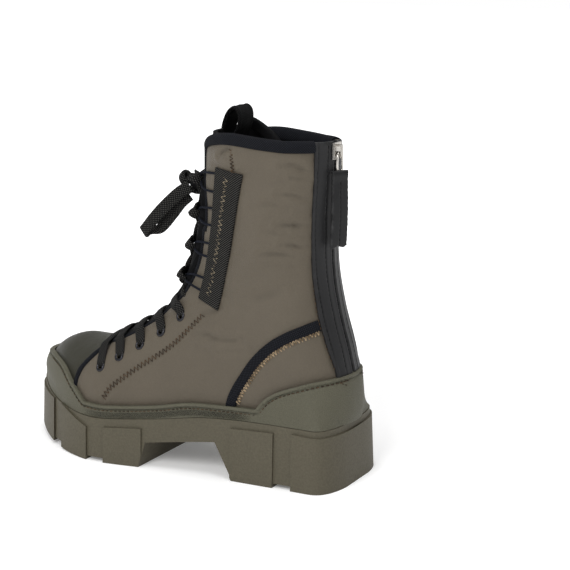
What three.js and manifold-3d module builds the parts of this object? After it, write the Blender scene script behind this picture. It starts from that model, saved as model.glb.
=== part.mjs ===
// A left lace-up ankle boot with padded fabric sides, a rubber rand and a chunky lugged sole.
// Millimetres. +X points to the toe, +Y to the wearer's left (the outer side), +Z up. Lengths along
// the boot are measured from the back of the heel tread, and the whole is then moved so that the
// origin lies on the floor under the middle of the heel's front lug.
import * as THREE from "three";
import { mergeVertices } from "three/addons/utils/BufferGeometryUtils.js";
import Module from "manifold-3d";

const wasm = await Module();
wasm.setup();

// Sole
const soleLength = 292;
const ballWidth = 106.5;
const heelHeight = 46.5; // top of the sole under the heel
const platform = 34; // top of the sole under the ball
const toeRim = 46; // top of the sole at its tip
const toeSpring = 8;
const heelCorner = 20; // how far the rounding of the heel's back reaches forward
const heelCentre = 66; // from the back of the sole to the frame's origin, under the heel's front lug
const sideDraft = 2.5; // the sole is this much wider at the floor than at its top
const lugRelief = 1.6; // how far the side lugs stand out
const treadGroove = 3;
const archHeight = 27; // at the heel breast
// Upper
const collarHeight = 255;
const collarTilt = 0.04; // how much lower the collar lies on the inner side, as a slope
const padWall = 4.5; // padded fabric with its lining
const toeStep = 1.6; // the toe piece lies this much lower than the padded quarters
const throatHalf = ballWidth * 0.1784; // half the gap between the facings on the shaft
const zipSlot = 6.5; // half the width of the opening behind the zip
// Pieces on the upper
const gap = 0.3; // clearance between pieces that touch
const smallest = 0.12; // steps smaller than this are left out
const weld = 0.03; // corners closer than this are one corner
const randThickness = 3;
const bindingThickness = 1;
const collarBand = 10;
const facingBand = 3.2;
const stayHalf = 23; // half the width of the two stays beside the zip together
const chainHalf = 1.1; // half the width of the row of teeth
const insoleThickness = 4;
const eyeletRadius = 3.8;
const eyeletHole = 2;
const eyeletThickness = 1;
const laceWidth = 7.5;
const laceThickness = 1.4;
const cordRadius = 1.1; // the cord loops on the shaft
const loopWidth = 22; // the webbing loop on the tongue
const loopThickness = 2;
const sliderHalf = 5.5;
const sliderLength = 12;
const sliderThickness = 2;
const pinRadius = 0.75; // the cross bar of the zip's ring
const bailHalf = 1.4;
const tabHalf = 7.5;
const tabLength = 56;
const tongueThickness = 3.5;
const bowLength = 50; // from the knot to the end of a bow loop

const rise = collarHeight - heelHeight;

// A smooth curve through the rows of a table: the value of one named column at a given place.
function along(rows, column, at) {
  const last = rows.length - 1;
  let i = 0;
  while (i < last - 1 && at > rows[i + 1].at) i++;
  const [a, b] = [rows[i], rows[i + 1]];
  const span = b.at - a.at;
  const slope = (j) => {
    const [p, q] = [rows[Math.max(j - 1, 0)], rows[Math.min(j + 1, last)]];
    return (q[column] - p[column]) / (q.at - p.at);
  };
  const t = Math.min(Math.max((at - a.at) / span, 0), 1);
  const [t2, t3] = [t * t, t * t * t];
  return (
    a[column] * (2 * t3 - 3 * t2 + 1) +
    slope(i) * span * (t3 - 2 * t2 + t) +
    b[column] * (3 * t2 - 2 * t3) +
    slope(i + 1) * span * (t3 - t2)
  );
}

// The sole seen from above: its centre line and half width, as shares of the ball width, at shares
// of the length.
const soleOutline = [
  { at: 0, centre: -0.026, half: 0.438 },
  { at: 0.1715, centre: -0.016, half: 0.434 },
  { at: 0.28, centre: 0.002, half: 0.425 },
  { at: 0.3934, centre: 0.019, half: 0.418 },
  { at: 0.5315, centre: 0.028, half: 0.456 },
  { at: 0.6745, centre: 0.035, half: 0.5 },
  { at: 0.7534, centre: 0.006, half: 0.5 },
  { at: 0.8373, centre: -0.047, half: 0.5 },
  { at: 0.9014, centre: -0.094, half: 0.5 },
  { at: 0.9458, centre: -0.124, half: 0.5 },
  { at: 1, centre: -0.14, half: 0.5 },
];
const toeStart = 0.6745; // from here the sole narrows to its tip

// The top of the sole, which carries the upper, as a share of the way from platform to heel height.
const topProfile = [
  { at: 0, heel: 1.0, toe: 0 },
  { at: 0.2307, heel: 1.0, toe: 0 },
  { at: 0.3589, heel: 0.84, toe: 0 },
  { at: 0.5068, heel: 0.36, toe: 0 },
  { at: 0.6745, heel: 0.0, toe: 0 },
  { at: 0.8027, heel: 0.0, toe: 0.16 },
  { at: 0.9014, heel: 0.0, toe: 0.5 },
  { at: 1, heel: 0.0, toe: 1.0 },
];

function soleTop(x) {
  const at = Math.min(Math.max(x / soleLength, 0), 1);
  return (
    platform +
    along(topProfile, "heel", at) * (heelHeight - platform) +
    along(topProfile, "toe", at) * (toeRim - platform)
  );
}

function soleBottom(x) {
  const toe = Math.max(0, (x / soleLength - toeStart) / (1 - toeStart));
  return toeSpring * toe * toe;
}

// Half the sole's width at x, with its rounded heel and toe.
function soleHalf(x) {
  const at = x / soleLength;
  const back = Math.min(Math.max(1 - x / heelCorner, 0), 1);
  const toe = Math.min(Math.max((at - toeStart) / (1 - toeStart), 0), 1);
  const heelEnd = (1 - back ** 2.6) ** (1 / 2.6);
  const toeEnd = (1 - toe ** 2) ** (1 / 1.75);
  return along(soleOutline, "half", at) * ballWidth * heelEnd * toeEnd;
}

// The sections of the upper's outer form, from the toe over the instep to above the collar. Each
// lies in a plane from a front point to a back point: x is a share of the sole's length, rise a
// share of the shaft's rise above the sole, centre and half are shares of the ball width. widest is
// the share of the way from back to front where it is widest, and front and back are the exponents
// of its rounding at either end.
const sectionColumns = [
  "frontX", "frontRise", "backX", "backRise", "centre", "half", "widest", "front", "back",
];
const sectionRows = [
  [0.9748, 0.03, 0.9748, -0.01, -0.137, 0.03, 0.5, 2, 2],
  [0.9675, 0.07, 0.9675, -0.03, -0.135, 0.088, 0.45, 2, 2.6],
  [0.9517, 0.109, 0.9517, -0.03, -0.128, 0.149, 0.42, 2, 3],
  [0.928, 0.149, 0.928, -0.03, -0.112, 0.211, 0.38, 2.05, 3.5],
  [0.8895, 0.19, 0.8895, -0.03, -0.084, 0.282, 0.34, 2.1, 4],
  [0.8412, 0.222, 0.8412, -0.03, -0.049, 0.347, 0.32, 2.15, 4.5],
  [0.7791, 0.236, 0.7791, -0.03, -0.007, 0.405, 0.3, 2.2, 5],
  [0.7169, 0.256, 0.7169, -0.03, 0.023, 0.437, 0.28, 2.15, 5],
  [0.6548, 0.295, 0.6548, -0.03, 0.034, 0.443, 0.27, 2.1, 5],
  [0.5858, 0.34, 0.5858, -0.03, 0.031, 0.42, 0.26, 2.05, 5],
  [0.531, 0.388, 0.497, -0.03, 0.026, 0.398, 0.26, 2, 5],
  [0.493, 0.448, 0.3757, -0.03, 0.015, 0.378, 0.28, 2, 4.5],
  [0.4699, 0.518, 0.2277, -0.03, 0.005, 0.366, 0.32, 2, 4],
  [0.4561, 0.587, 0.0995, -0.03, 0.0, 0.358, 0.36, 2, 3.4],
  [0.4457, 0.65, 0.0226, -0.014, 0.0, 0.35, 0.4, 2.05, 2.7],
  [0.4384, 0.71, 0.0107, 0.103, 0.0, 0.341, 0.42, 2.1, 2.35],
  [0.432, 0.767, 0.0276, 0.2326, 0.0, 0.334, 0.44, 2.1, 2.25],
  [0.4264, 0.824, 0.0552, 0.372, 0.0, 0.332, 0.46, 2.15, 2.2],
  [0.4215, 0.886, 0.0759, 0.525, 0.0, 0.337, 0.48, 2.2, 2.2],
  [0.418, 0.952, 0.0799, 0.698, 0.0, 0.346, 0.5, 2.2, 2.2],
  [0.416, 1.024, 0.0749, 0.89, 0.0, 0.356, 0.5, 2.2, 2.2],
  [0.414, 1.12, 0.071, 1.1, 0.0, 0.364, 0.5, 2.2, 2.2],
];
const sections = sectionRows.map((row, i) => ({
  at: i / (sectionRows.length - 1),
  ...Object.fromEntries(sectionColumns.map((column, k) => [column, row[k]])),
}));
const ringCount = 22;
const ringPoints = 18;

// A point of the form: at runs from the toe to above the collar, and turn from the front over the
// outer side to the back and on over the inner side.
function formPoint(at, turn) {
  const value = (column) => along(sections, column, at);
  const [frontX, backX] = [value("frontX") * soleLength, value("backX") * soleLength];
  const front = new THREE.Vector3(frontX, 0, soleTop(frontX) + value("frontRise") * rise);
  const back = new THREE.Vector3(backX, 0, soleTop(backX) + value("backRise") * rise);
  const middle = back.clone().lerp(front, value("widest"));
  const [c, s] = [Math.cos(turn), Math.sin(turn)];
  const power = 2 / value(c > 0 ? "front" : "back");
  const point = middle.lerp(c > 0 ? front : back, Math.abs(c) ** power);
  point.y = ballWidth * (value("centre") + value("half") * Math.sign(s) * Math.abs(s) ** power);
  return point;
}

// Rings along the form.
const rings = [];
for (let i = 0; i < ringCount; i++) {
  const turns = [...Array(ringPoints).keys()].map((j) => (2 * Math.PI * j) / ringPoints);
  rings.push(turns.map((turn) => formPoint(i / (ringCount - 1), turn)));
}

// A closed surface through rings of points, each end closed by a fan.
function loft(list) {
  const count = list[0].length;
  const positions = list.flat().flatMap((p) => [p.x, p.y, p.z]);
  const index = [];
  for (let i = 0; i < list.length - 1; i++)
    for (let j = 0; j < count; j++) {
      const k = (j + 1) % count;
      const [a, b, c, d] = [i * count + j, i * count + k, (i + 1) * count + j, (i + 1) * count + k];
      index.push(a, b, c, b, d, c);
    }
  for (const [ring, first] of [[list[0], 0], [list.at(-1), (list.length - 1) * count]]) {
    const middle = ring.reduce((sum, p) => sum.add(p), new THREE.Vector3()).divideScalar(count);
    const tip = positions.length / 3;
    positions.push(middle.x, middle.y, middle.z);
    for (let j = 0; j < count; j++) {
      const k = (j + 1) % count;
      if (first) index.push(first + j, first + k, tip);
      else index.push(k, j, tip);
    }
  }
  const geometry = new THREE.BufferGeometry();
  geometry.setAttribute("position", new THREE.Float32BufferAttribute(positions, 3));
  geometry.setIndex(index);
  return solidOf(geometry);
}

function solidOf(geometry) {
  const bare = geometry.clone();
  bare.deleteAttribute("normal");
  bare.deleteAttribute("uv");
  const merged = mergeVertices(bare, 1e-4);
  const mesh = new wasm.Mesh({
    numProp: 3,
    vertProperties: new Float32Array(merged.attributes.position.array),
    triVerts: new Uint32Array(merged.index.array),
  });
  const solid = new wasm.Manifold(mesh);
  if (solid.volume() > 0) return solid;
  for (let i = 0; i < mesh.triVerts.length; i += 3)
    [mesh.triVerts[i + 1], mesh.triVerts[i + 2]] = [mesh.triVerts[i + 2], mesh.triVerts[i + 1]];
  return new wasm.Manifold(mesh);
}

// The upper's form grown outwards by some thickness, along the surface's own normals.
function form(grow) {
  const grown = rings.map((ring, i) =>
    ring.map((point, j) => {
      const before = rings[Math.max(i - 1, 0)][j];
      const after = rings[Math.min(i + 1, ringCount - 1)][j];
      const [left, right] = [ring[(j + 1) % ringPoints], ring[(j + ringPoints - 1) % ringPoints]];
      const normal = after.clone().sub(before).cross(left.clone().sub(right)).normalize();
      const moved = point.clone().addScaledVector(normal, -grow);
      if (i === 0) moved.x += grow; // the toe's blunt tip moves forward as a whole
      return moved;
    }),
  );
  return loft(grown);
}

// A prism with an outline in the plane across the given axis: x takes (y, z), y takes (x, z) and
// z takes (x, y).
function prism(axis, outline, from, to) {
  const shape = new THREE.Shape(outline.map(([u, v]) => new THREE.Vector2(u, v)));
  const geometry = new THREE.ExtrudeGeometry(shape, { depth: to - from, bevelEnabled: false });
  const [X, Y, Z] = [[1, 0, 0], [0, 1, 0], [0, 0, 1]].map((v) => new THREE.Vector3(...v));
  const basis = { x: [Y, Z, X], y: [X, Z, Y], z: [X, Y, Z] }[axis];
  geometry.applyMatrix4(new THREE.Matrix4().makeTranslation(0, 0, from));
  geometry.applyMatrix4(new THREE.Matrix4().makeBasis(...basis));
  return solidOf(geometry);
}

function box(x0, x1, y0, y1, z0, z1) {
  const geometry = new THREE.BoxGeometry(x1 - x0, y1 - y0, z1 - z0);
  geometry.translate((x0 + x1) / 2, (y0 + y1) / 2, (z0 + z1) / 2);
  return solidOf(geometry);
}


const boot = new THREE.Group();

// The faces of a solid with its vertices merged, without faces that have no area and without pairs
// of faces that lie back to back, which a cut along a curved skin can leave.
function facesOf(solid) {
  const { vertProperties, triVerts } = solid.getMesh();
  const geometry = new THREE.BufferGeometry();
  geometry.setAttribute("position", new THREE.Float32BufferAttribute(vertProperties, 3));
  geometry.setIndex(new THREE.BufferAttribute(triVerts, 1));
  const merged = mergeVertices(geometry, weld);
  const faces = new Map();
  const index = merged.index.array;
  for (let i = 0; i < index.length; i += 3) {
    const face = [index[i], index[i + 1], index[i + 2]];
    if (new Set(face).size < 3) continue;
    const key = [...face].sort((a, b) => a - b).join();
    if (faces.has(key)) faces.delete(key);
    else faces.set(key, face);
  }
  merged.setIndex(largestPart([...faces.values()]).flat());
  return merged;
}

// The faces that hang together, two to an edge, with most of the others.
function largestPart(faces) {
  const edges = new Map();
  faces.forEach((face, i) =>
    face.forEach((vertex, k) => {
      const key = [vertex, face[(k + 1) % 3]].sort((a, b) => a - b).join();
      edges.set(key, [...(edges.get(key) ?? []), i]);
    }),
  );
  const parents = faces.map((_, i) => i);
  const root = (i) => {
    while (parents[i] !== i) i = parents[i];
    return i;
  };
  for (const pair of edges.values()) if (pair.length === 2) parents[root(pair[0])] = root(pair[1]);
  const parts = Map.groupBy(faces, (_, i) => root(i));
  return [...parts.values()].sort((a, b) => b.length - a.length)[0];
}

const skin = new THREE.Mesh(facesOf(form(0)));

// The place on the form's skin nearest to a point, as the point and the outward normal there.
function onForm(x, y, z) {
  const wanted = new THREE.Vector3(x, y, z);
  let best = { at: 0.5, turn: Math.PI, off: Infinity };
  let [reach, sweep] = [0.5, Math.PI];
  for (let pass = 0; pass < 9; pass++) {
    const { at: midAt, turn: midTurn } = best;
    for (let i = -10; i <= 10; i++)
      for (let j = -10; j <= 10; j++) {
        const at = Math.min(Math.max(midAt + (reach * i) / 10, 0), 1);
        const turn = midTurn + (sweep * j) / 10;
        const off = formPoint(at, turn).distanceTo(wanted);
        if (off < best.off) best = { at, turn, off };
      }
    [reach, sweep] = [reach * 0.35, sweep * 0.35];
  }
  const step = 0.01;
  const { at, turn } = best;
  const along1 = formPoint(Math.min(at + step, 1), turn).sub(formPoint(Math.max(at - step, 0), turn));
  const around = formPoint(at, turn + step).sub(formPoint(at, turn - step));
  const normal = around.cross(along1).normalize();
  const outside = formPoint(at, turn).addScaledVector(normal, padWall);
  const ray = new THREE.Raycaster(outside, normal.clone().negate());
  return { point: ray.intersectObject(skin)[0].point, normal };
}

// Adds a solid as a named mesh, without stray slivers.
function add(name, solid, color, roughness, metalness = 0) {
  const pieces = solid.simplify(smallest).decompose().sort((a, b) => b.volume() - a.volume());
  const material = new THREE.MeshStandardMaterial({ color, roughness, metalness });
  const mesh = new THREE.Mesh(facesOf(pieces[0]), material);
  mesh.name = name;
  boot.add(mesh);
}

const olive = 0x5f5c50;
const rubber = 0x55564a;
const black = 0x1b1b1d;

// A polyline in the side view from a table of shares: x along the sole, rise above the sole's top.
function sideLine(rows, lift = 0) {
  return rows.map(({ x, up }) => [x * soleLength, soleTop(x * soleLength) + up * rise + lift]);
}

// The same with the rises measured from the top of the heel.
const sidePoints = (rows) => rows.map(({ x, up }) => [x * soleLength, heelHeight + up * rise]);

const farAbove = collarHeight * 1.5;
const farSide = ballWidth;

// What lies above a side-view line, as wide as the whole boot.
function above(line) {
  const [first, last] = [line[0], line.at(-1)];
  return prism("y", [...line, [last[0], farAbove], [first[0], farAbove]], -farSide, farSide);
}

// The sole's top as a side-view line, a little longer than the sole.
const profileSteps = 18;
function footbed(lift) {
  const line = [[-soleLength * 0.1, soleTop(0) + lift]];
  for (let i = 0; i <= profileSteps; i++) {
    const x = (soleLength * i) / profileSteps;
    line.push([x, soleTop(x) + lift]);
  }
  line.push([soleLength * 1.1, soleTop(soleLength) + lift]);
  return line;
}

// The sole's plan, drawn in by some inset, at a height.
function planRing(inset, z) {
  const outline = (side) => {
    const line = [];
    for (let i = 0; i <= 30; i++) {
      const x = (soleLength * (1 - Math.cos((Math.PI * i) / 30))) / 2;
      const centre = along(soleOutline, "centre", x / soleLength) * ballWidth;
      line.push(new THREE.Vector2(x, centre + side * soleHalf(x)));
    }
    return line;
  };
  const ring = [...outline(-1), ...outline(1).slice(1, -1).reverse()];
  return ring.map((point, i) => {
    const before = ring[(i + ring.length - 1) % ring.length];
    const after = ring[(i + 1) % ring.length];
    const normal = new THREE.Vector2(after.y - before.y, before.x - after.x).normalize();
    return new THREE.Vector3(point.x - normal.x * inset, point.y - normal.y * inset, z);
  });
}

// The lugs on the side of the sole, in shares of its length, with their tops as shares of the heel's
// height. Between two of them the wall stands back and the tread has a groove.
const lugs = [
  { from: 0.0038, to: 0.1138, topBack: 0.89, topFront: 0.92 },
  { from: 0.1656, to: 0.2869, topBack: 0.89, topFront: 0.86 },
  { from: 0.5414, to: 0.6499, topBack: 0.65, topFront: 0.6 },
  { from: 0.7041, to: 0.8146, topBack: 0.56, topFront: 0.8 },
  { from: 0.857, to: 1.0099, topBack: 0.8, topFront: 0.85 },
];
const archLine = [
  { x: 0.28, up: -0.05 },
  { x: 0.3342, up: 1 },
  { x: 0.5325, up: 0.72 },
  { x: 0.5493, up: -0.05 },
];

function outsole() {
  const low = -toeSpring;
  const high = heelHeight + toeSpring;
  const wall = (inset) => loft([planRing(inset, low), planRing(inset + sideDraft, high)]);
  const profile = [];
  const stations = [...Array(profileSteps + 1).keys()].map((i) => (soleLength * i) / profileSteps);
  for (const x of stations) profile.push([x, soleBottom(x)]);
  for (const x of stations.reverse()) profile.push([x, soleTop(x)]);
  const between = prism("y", profile, -farSide, farSide);
  let sole = wall(lugRelief);
  for (const lug of lugs) {
    const [from, to] = [lug.from * soleLength, lug.to * soleLength];
    const [tall, short] = [lug.topBack * heelHeight, lug.topFront * heelHeight];
    const outline = [[from, low], [to, low], [to, short], [from, tall]];
    sole = sole.add(wall(0).intersect(prism("y", outline, -farSide, farSide)));
  }
  sole = sole.intersect(between);
  const arch = archLine.map(({ x, up }) => [x * soleLength, up * archHeight]);
  sole = sole.subtract(prism("y", arch, -farSide, farSide));
  for (const [back, front] of [[0, 1], [2, 3], [3, 4]]) {
    const [from, to] = [lugs[back].to * soleLength, lugs[front].from * soleLength];
    const floor = soleBottom((from + to) / 2) + treadGroove;
    sole = sole.subtract(box(from, to, -farSide, farSide, low, floor));
  }
  return sole;
}
add("outsole", outsole(), rubber, 0.8);

// The rim of the shaft from the back to the facings, and the line of the quarters' front edge, each
// as a side-view table of shares of the sole's length and of the rise.
const collarLine = [
  { x: -0.0849, up: 0.988 },
  { x: 0.1518, up: 0.988 },
  { x: 0.2208, up: 0.996 },
  { x: 0.2899, up: 1.004 },
  { x: 0.3392, up: 0.999 },
  { x: 0.3786, up: 0.985 },
  { x: 0.4082, up: 0.955 },
  { x: 0.6055, up: 0.72 },
];
const quarterFront = [
  { x: 0.7584, up: 0.03 },
  { x: 0.7544, up: 0.115 },
  { x: 0.7445, up: 0.16 },
  { x: 0.7288, up: 0.19 },
  { x: 0.713, up: 0.22 },
  { x: 0.6942, up: 0.25 },
  { x: 0.6647, up: 0.4 },
];
// The lace opening in plan: half its width at shares of the length.
const throat = [
  { x: 0.2899, half: 1.12 },
  { x: 0.393, half: 1.12 },
  { x: 0.4041, half: 1.02 },
  { x: 0.4589, half: 1.08 },
  { x: 0.5137, half: 1.03 },
  { x: 0.5685, half: 1.2 },
  { x: 0.6233, half: 1.38 },
  { x: 0.6644, half: 1.42 },
  { x: 0.6849, half: 1.25 },
  { x: 0.6972, half: 0.9 },
  { x: 0.7041, half: 0.4 },
];
const instepFloor = collarHeight * 0.3; // a height between the footbed and the roof of the opening

const throatPlan = (more) => [
  ...throat.map(({ x, half }) => [x * soleLength + more, half * throatHalf + more]),
  ...throat.map(({ x, half }) => [x * soleLength + more, -half * throatHalf - more]).reverse(),
];
const throatCut = (more = 0) => prism("z", throatPlan(more), instepFloor, farAbove);

// What lies above the collar, which falls by collarTilt towards the inner side.
function aboveCollar(lift) {
  const line = collarLine.map(({ x, up }) => [x * soleLength, heelHeight + up * rise + lift]);
  const drop = collarTilt * ballWidth * 0.34;
  return above(line).transform([1, 0, 0, 0, 0, 1, collarTilt, 0, 0, 0, 1, 0, 0, 0, -drop, 1]);
}

const zipFoot = 0.225; // share of the rise where the zip's slot ends
const zipBack = soleLength * 0.2; // the zip lies behind this
const slotCut = (half) => box(-zipBack, zipBack, -half, half, heelHeight + zipFoot * rise, farAbove);

function quarterCut(shift) {
  const line = sideLine(quarterFront).map(([x, z]) => [x + shift, z]);
  const ahead = soleLength * 1.2;
  return prism("y", [...line, [ahead, farAbove], [ahead, 0], [line[0][0], 0]], -farSide, farSide);
}

const sides = { outer: 1, inner: -1 };

// The eyelets' places on the outer side, in shares of the length, the ball width and the rise; the
// inner side has the same.
const eyeletRows = [
  { x: 0.6777, y: 0.402, up: 0.1213 },
  { x: 0.626, y: 0.373, up: 0.1669 },
  { x: 0.5709, y: 0.3305, up: 0.2149 },
  { x: 0.5137, y: 0.294, up: 0.27 },
  { x: 0.4586, y: 0.271, up: 0.3343 },
];
const eyeletSeat = ({ x, y, up }, side) =>
  onForm(x * soleLength, side * y * ballWidth, heelHeight + up * rise);
const eyeletSeats = Object.values(sides).flatMap((side) => eyeletRows.map((row) => eyeletSeat(row, side)));

// A geometry modelled along +Y, set on a place of the form with +Y along its normal.
function seated(geometry, { point, normal }, lift = 0) {
  const turn = new THREE.Quaternion().setFromUnitVectors(new THREE.Vector3(0, 1, 0), normal);
  const place = point.clone().addScaledVector(normal, lift);
  return geometry.applyMatrix4(new THREE.Matrix4().compose(place, turn, new THREE.Vector3(1, 1, 1)));
}

// A round pin through a place of the form.
const pinAt = (seat, radius, length, inward) =>
  solidOf(seated(new THREE.CylinderGeometry(radius, radius, length, 6), seat, length / 2 - inward));

function upper() {
  let solid = form(0).subtract(quarterCut(0));
  solid = solid.add(form(-toeStep).intersect(quarterCut(-toeStep)));
  solid = solid.subtract(form(-padWall));
  solid = solid.intersect(above(footbed(gap)));
  solid = solid.subtract(aboveCollar(0));
  solid = solid.subtract(throatCut());
  for (const seat of eyeletSeats) solid = solid.subtract(pinAt(seat, eyeletHole, padWall * 2, padWall));
  return solid.subtract(slotCut(zipSlot));
}
add("upper", upper(), olive, 0.55);

const insideUpper = -padWall - gap;

function insole() {
  const layer = above(footbed(gap)).subtract(above(footbed(gap + insoleThickness)));
  return form(insideUpper).intersect(layer);
}
add("insole", insole(), black, 0.9);

// The tongue lies under the lace opening, from under the toe piece to above the collar, with wings
// that slope down along the inside of the shaft.
const tongueSide = [
  { x: 0.274, up: 0.945 },
  { x: 0.285, up: 0.45 },
  { x: 0.44, up: 0.2 },
  { x: 0.7386, up: 0.1 },
  { x: 0.7386, up: 1 },
  { x: 0.349, up: 1 },
];
const tongueHalf = 32;

function tongue() {
  const shell = form(insideUpper).subtract(form(insideUpper - tongueThickness));
  return shell.intersect(prism("y", sidePoints(tongueSide), -tongueHalf, tongueHalf));
}
add("tongue", tongue(), black, 0.85);

// The rubber rand: a bumper at the toe, a low band at the sides and a counter at the heel, in shares
// of the length and the rise, with a bead along its edge.
const randTop = [
  { x: -0.0849, up: 0.178 },
  { x: 0.0137, up: 0.176 },
  { x: 0.0679, up: 0.165 },
  { x: 0.1222, up: 0.141 },
  { x: 0.1666, up: 0.115 },
  { x: 0.1972, up: 0.084 },
  { x: 0.2188, up: 0.048 },
  { x: 0.3096, up: 0.05 },
  { x: 0.4082, up: 0.057 },
  { x: 0.497, up: 0.052 },
  { x: 0.5858, up: 0.05 },
  { x: 0.6647, up: 0.05 },
  { x: 0.714, up: 0.052 },
  { x: 0.7554, up: 0.094 },
  { x: 0.8195, up: 0.139 },
  { x: 0.8994, up: 0.135 },
  { x: 0.9507, up: 0.11 },
  { x: 1.0986, up: 0.1 },
];
const beadHeight = 3.2;
const beadRelief = 0.8;

function rand() {
  const sideView = (lower) => above(footbed(gap * 2)).subtract(above(sideLine(randTop, -lower)));
  const band = form(randThickness).intersect(sideView(0));
  const bead = form(randThickness + beadRelief).intersect(sideView(0)).subtract(sideView(beadHeight));
  return band.add(bead).subtract(form(gap));
}
add("rand", rand(), rubber, 0.8);

// A layer between two distances from the form, inside a region.
const layer = (inner, outer, region) => form(outer).intersect(region).subtract(form(inner));

const oneSide = (side, from) => {
  const [low, high] = side > 0 ? [from, farSide] : [-farSide, -from];
  return box(-soleLength, soleLength * 2, low, high, -heelHeight, farAbove);
};
const aboveRand = above(sideLine(randTop, gap));
const zipZone = box(-zipBack, zipBack, -stayHalf - gap, stayHalf + gap, 0, farAbove);

// The binding: over the rim from the zip's stay to the facing, down the facing's edge and along the
// quarter's front edge.
function binding(side) {
  const outer = gap + bindingThickness;
  const rim = aboveCollar(-collarBand).subtract(aboveCollar(outer));
  const facing = prism("z", throatPlan(facingBand), instepFloor, farAbove).subtract(aboveCollar(0));
  const front = quarterCut(-facingBand).subtract(quarterCut(0));
  let solid = layer(gap, outer, rim.add(facing).add(front).subtract(quarterCut(0)));
  const lip = aboveCollar(gap).subtract(aboveCollar(outer));
  solid = solid.add(layer(insideUpper - bindingThickness, outer, lip));
  const inside = aboveCollar(-collarBand).subtract(aboveCollar(outer));
  solid = solid.add(layer(insideUpper - bindingThickness, insideUpper, inside));
  const beyondTongue = prism("y", sidePoints(tongueSide), -farSide, farSide);
  solid = solid.subtract(beyondTongue.intersect(form(-padWall)));
  solid = solid.subtract(throatCut()).intersect(aboveRand).intersect(oneSide(side, 0));
  return solid.subtract(zipZone);
}

// The twill strip that holds the cord loops, and the arched band over the heel.
const stripCorners = [
  { x: 0.3438, up: 0.888 },
  { x: 0.2572, up: 0.8734 },
  { x: 0.3408, up: 0.3789 },
  { x: 0.4075, up: 0.4082 },
];
const stripThickness = 1;
const heelBandTop = [
  { x: 0.04, up: 0.389 },
  { x: 0.0747, up: 0.377 },
  { x: 0.1079, up: 0.3573 },
  { x: 0.1438, up: 0.3333 },
  { x: 0.1887, up: 0.2916 },
  { x: 0.2329, up: 0.2307 },
  { x: 0.2658, up: 0.164 },
  { x: 0.2908, up: 0.105 },
  { x: 0.3051, up: 0.0508 },
  { x: 0.309, up: 0 },
];
const heelBandWidth = 8;

function twillStrip(side) {
  const region = prism("y", sidePoints(stripCorners), -farSide, farSide).intersect(oneSide(side, 0));
  const facing = prism("z", throatPlan(facingBand + gap), instepFloor, farAbove);
  return layer(gap, gap + stripThickness, region.subtract(facing));
}

function heelBand(side) {
  const line = sidePoints(heelBandTop);
  const inner = line.map(([x, z], i) => {
    const [before, after] = [line[Math.max(i - 1, 0)], line[Math.min(i + 1, line.length - 1)]];
    const [dx, dz] = [after[0] - before[0], after[1] - before[1]];
    const step = heelBandWidth / Math.hypot(dx, dz);
    return [x + dz * step, z - dx * step];
  });
  const region = prism("y", [...line, ...inner.reverse()], -farSide, farSide);
  const beside = oneSide(side, 0).subtract(zipZone);
  return layer(gap, gap + bindingThickness, region.intersect(beside).intersect(aboveRand));
}

// The zip at the back: two stays, the tape under them and the row of teeth between them.
function zipStay(side) {
  const both = box(-zipBack, zipBack, -stayHalf, stayHalf, 0, farAbove);
  const half = both.intersect(oneSide(side, chainHalf + gap));
  return layer(gap, gap + bindingThickness, half.intersect(aboveRand).subtract(aboveCollar(0)));
}

function backPiece(half, foot, head, inner, outer) {
  return layer(inner, outer, box(-zipBack, zipBack, -half, half, foot, head));
}

const slotFoot = heelHeight + zipFoot * rise;
const collarBack = heelHeight + collarLine[0].up * rise;
const tapeOut = -0.8;

for (const [name, side] of Object.entries(sides)) {
  add(`binding_${name}`, binding(side), black, 0.95);
  add(`twill_strip_${name}`, twillStrip(side), black, 0.9);
  add(`heel_band_${name}`, heelBand(side), black, 0.95);
  add(`zip_stay_${name}`, zipStay(side), black, 0.7);
}
add("zip_tape", backPiece(zipSlot - gap, slotFoot + gap, collarBack, tapeOut - 1.6, tapeOut), black, 0.9);
const teethOut = 1.2;
add("zip_teeth", backPiece(chainHalf, slotFoot + 3, collarBack - 2, tapeOut + gap, teethOut), 0x2a2a2c, 0.5);

// Eyelets: flat rings on the quarters.
eyeletSeats.forEach((seat, i) => {
  const [low, high] = [gap * 2, gap * 2 + eyeletThickness];
  const profile = [
    [eyeletHole, low],
    [eyeletRadius, low],
    [eyeletRadius - 0.6, high],
    [eyeletHole + 0.4, high],
  ].map(([r, z]) => new THREE.Vector2(r, z));
  const ring = new THREE.LatheGeometry([...profile, profile[0].clone()], 8);
  const name = i < eyeletRows.length ? "outer" : "inner";
  add(`eyelet_${name}_${(i % eyeletRows.length) + 1}`, solidOf(seated(ring, seat)), 0x3a3a3c, 0.35, 0.9);
});

// A flat strand through stops, each a point with the way that its flat side faces.
function strand(stops, width, thickness, steps) {
  const curve = new THREE.CatmullRomCurve3(stops.map(({ point }) => point));
  const list = [];
  for (let i = 0; i <= steps; i++) {
    const at = (i / steps) * (stops.length - 1);
    const k = Math.min(Math.floor(at), stops.length - 2);
    const normal = stops[k].normal.clone().lerp(stops[k + 1].normal, at - k);
    const point = curve.getPoint(i / steps);
    const across = curve.getTangent(i / steps).cross(normal).normalize();
    const up = across.clone().cross(curve.getTangent(i / steps)).normalize();
    const corner = (u, v) => {
      const aside = point.clone().addScaledVector(across, (u * width) / 2);
      return aside.addScaledVector(up, (v * thickness) / 2);
    };
    list.push([corner(-1, -1), corner(1, -1), corner(1, 1), corner(-1, 1)]);
  }
  return loft(list);
}

// The place on the form nearest to a point, lifted off the surface.
function over(x, y, z, lift) {
  const { point, normal } = onForm(x, y, z);
  return { point: point.addScaledVector(normal, lift), normal };
}

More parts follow.
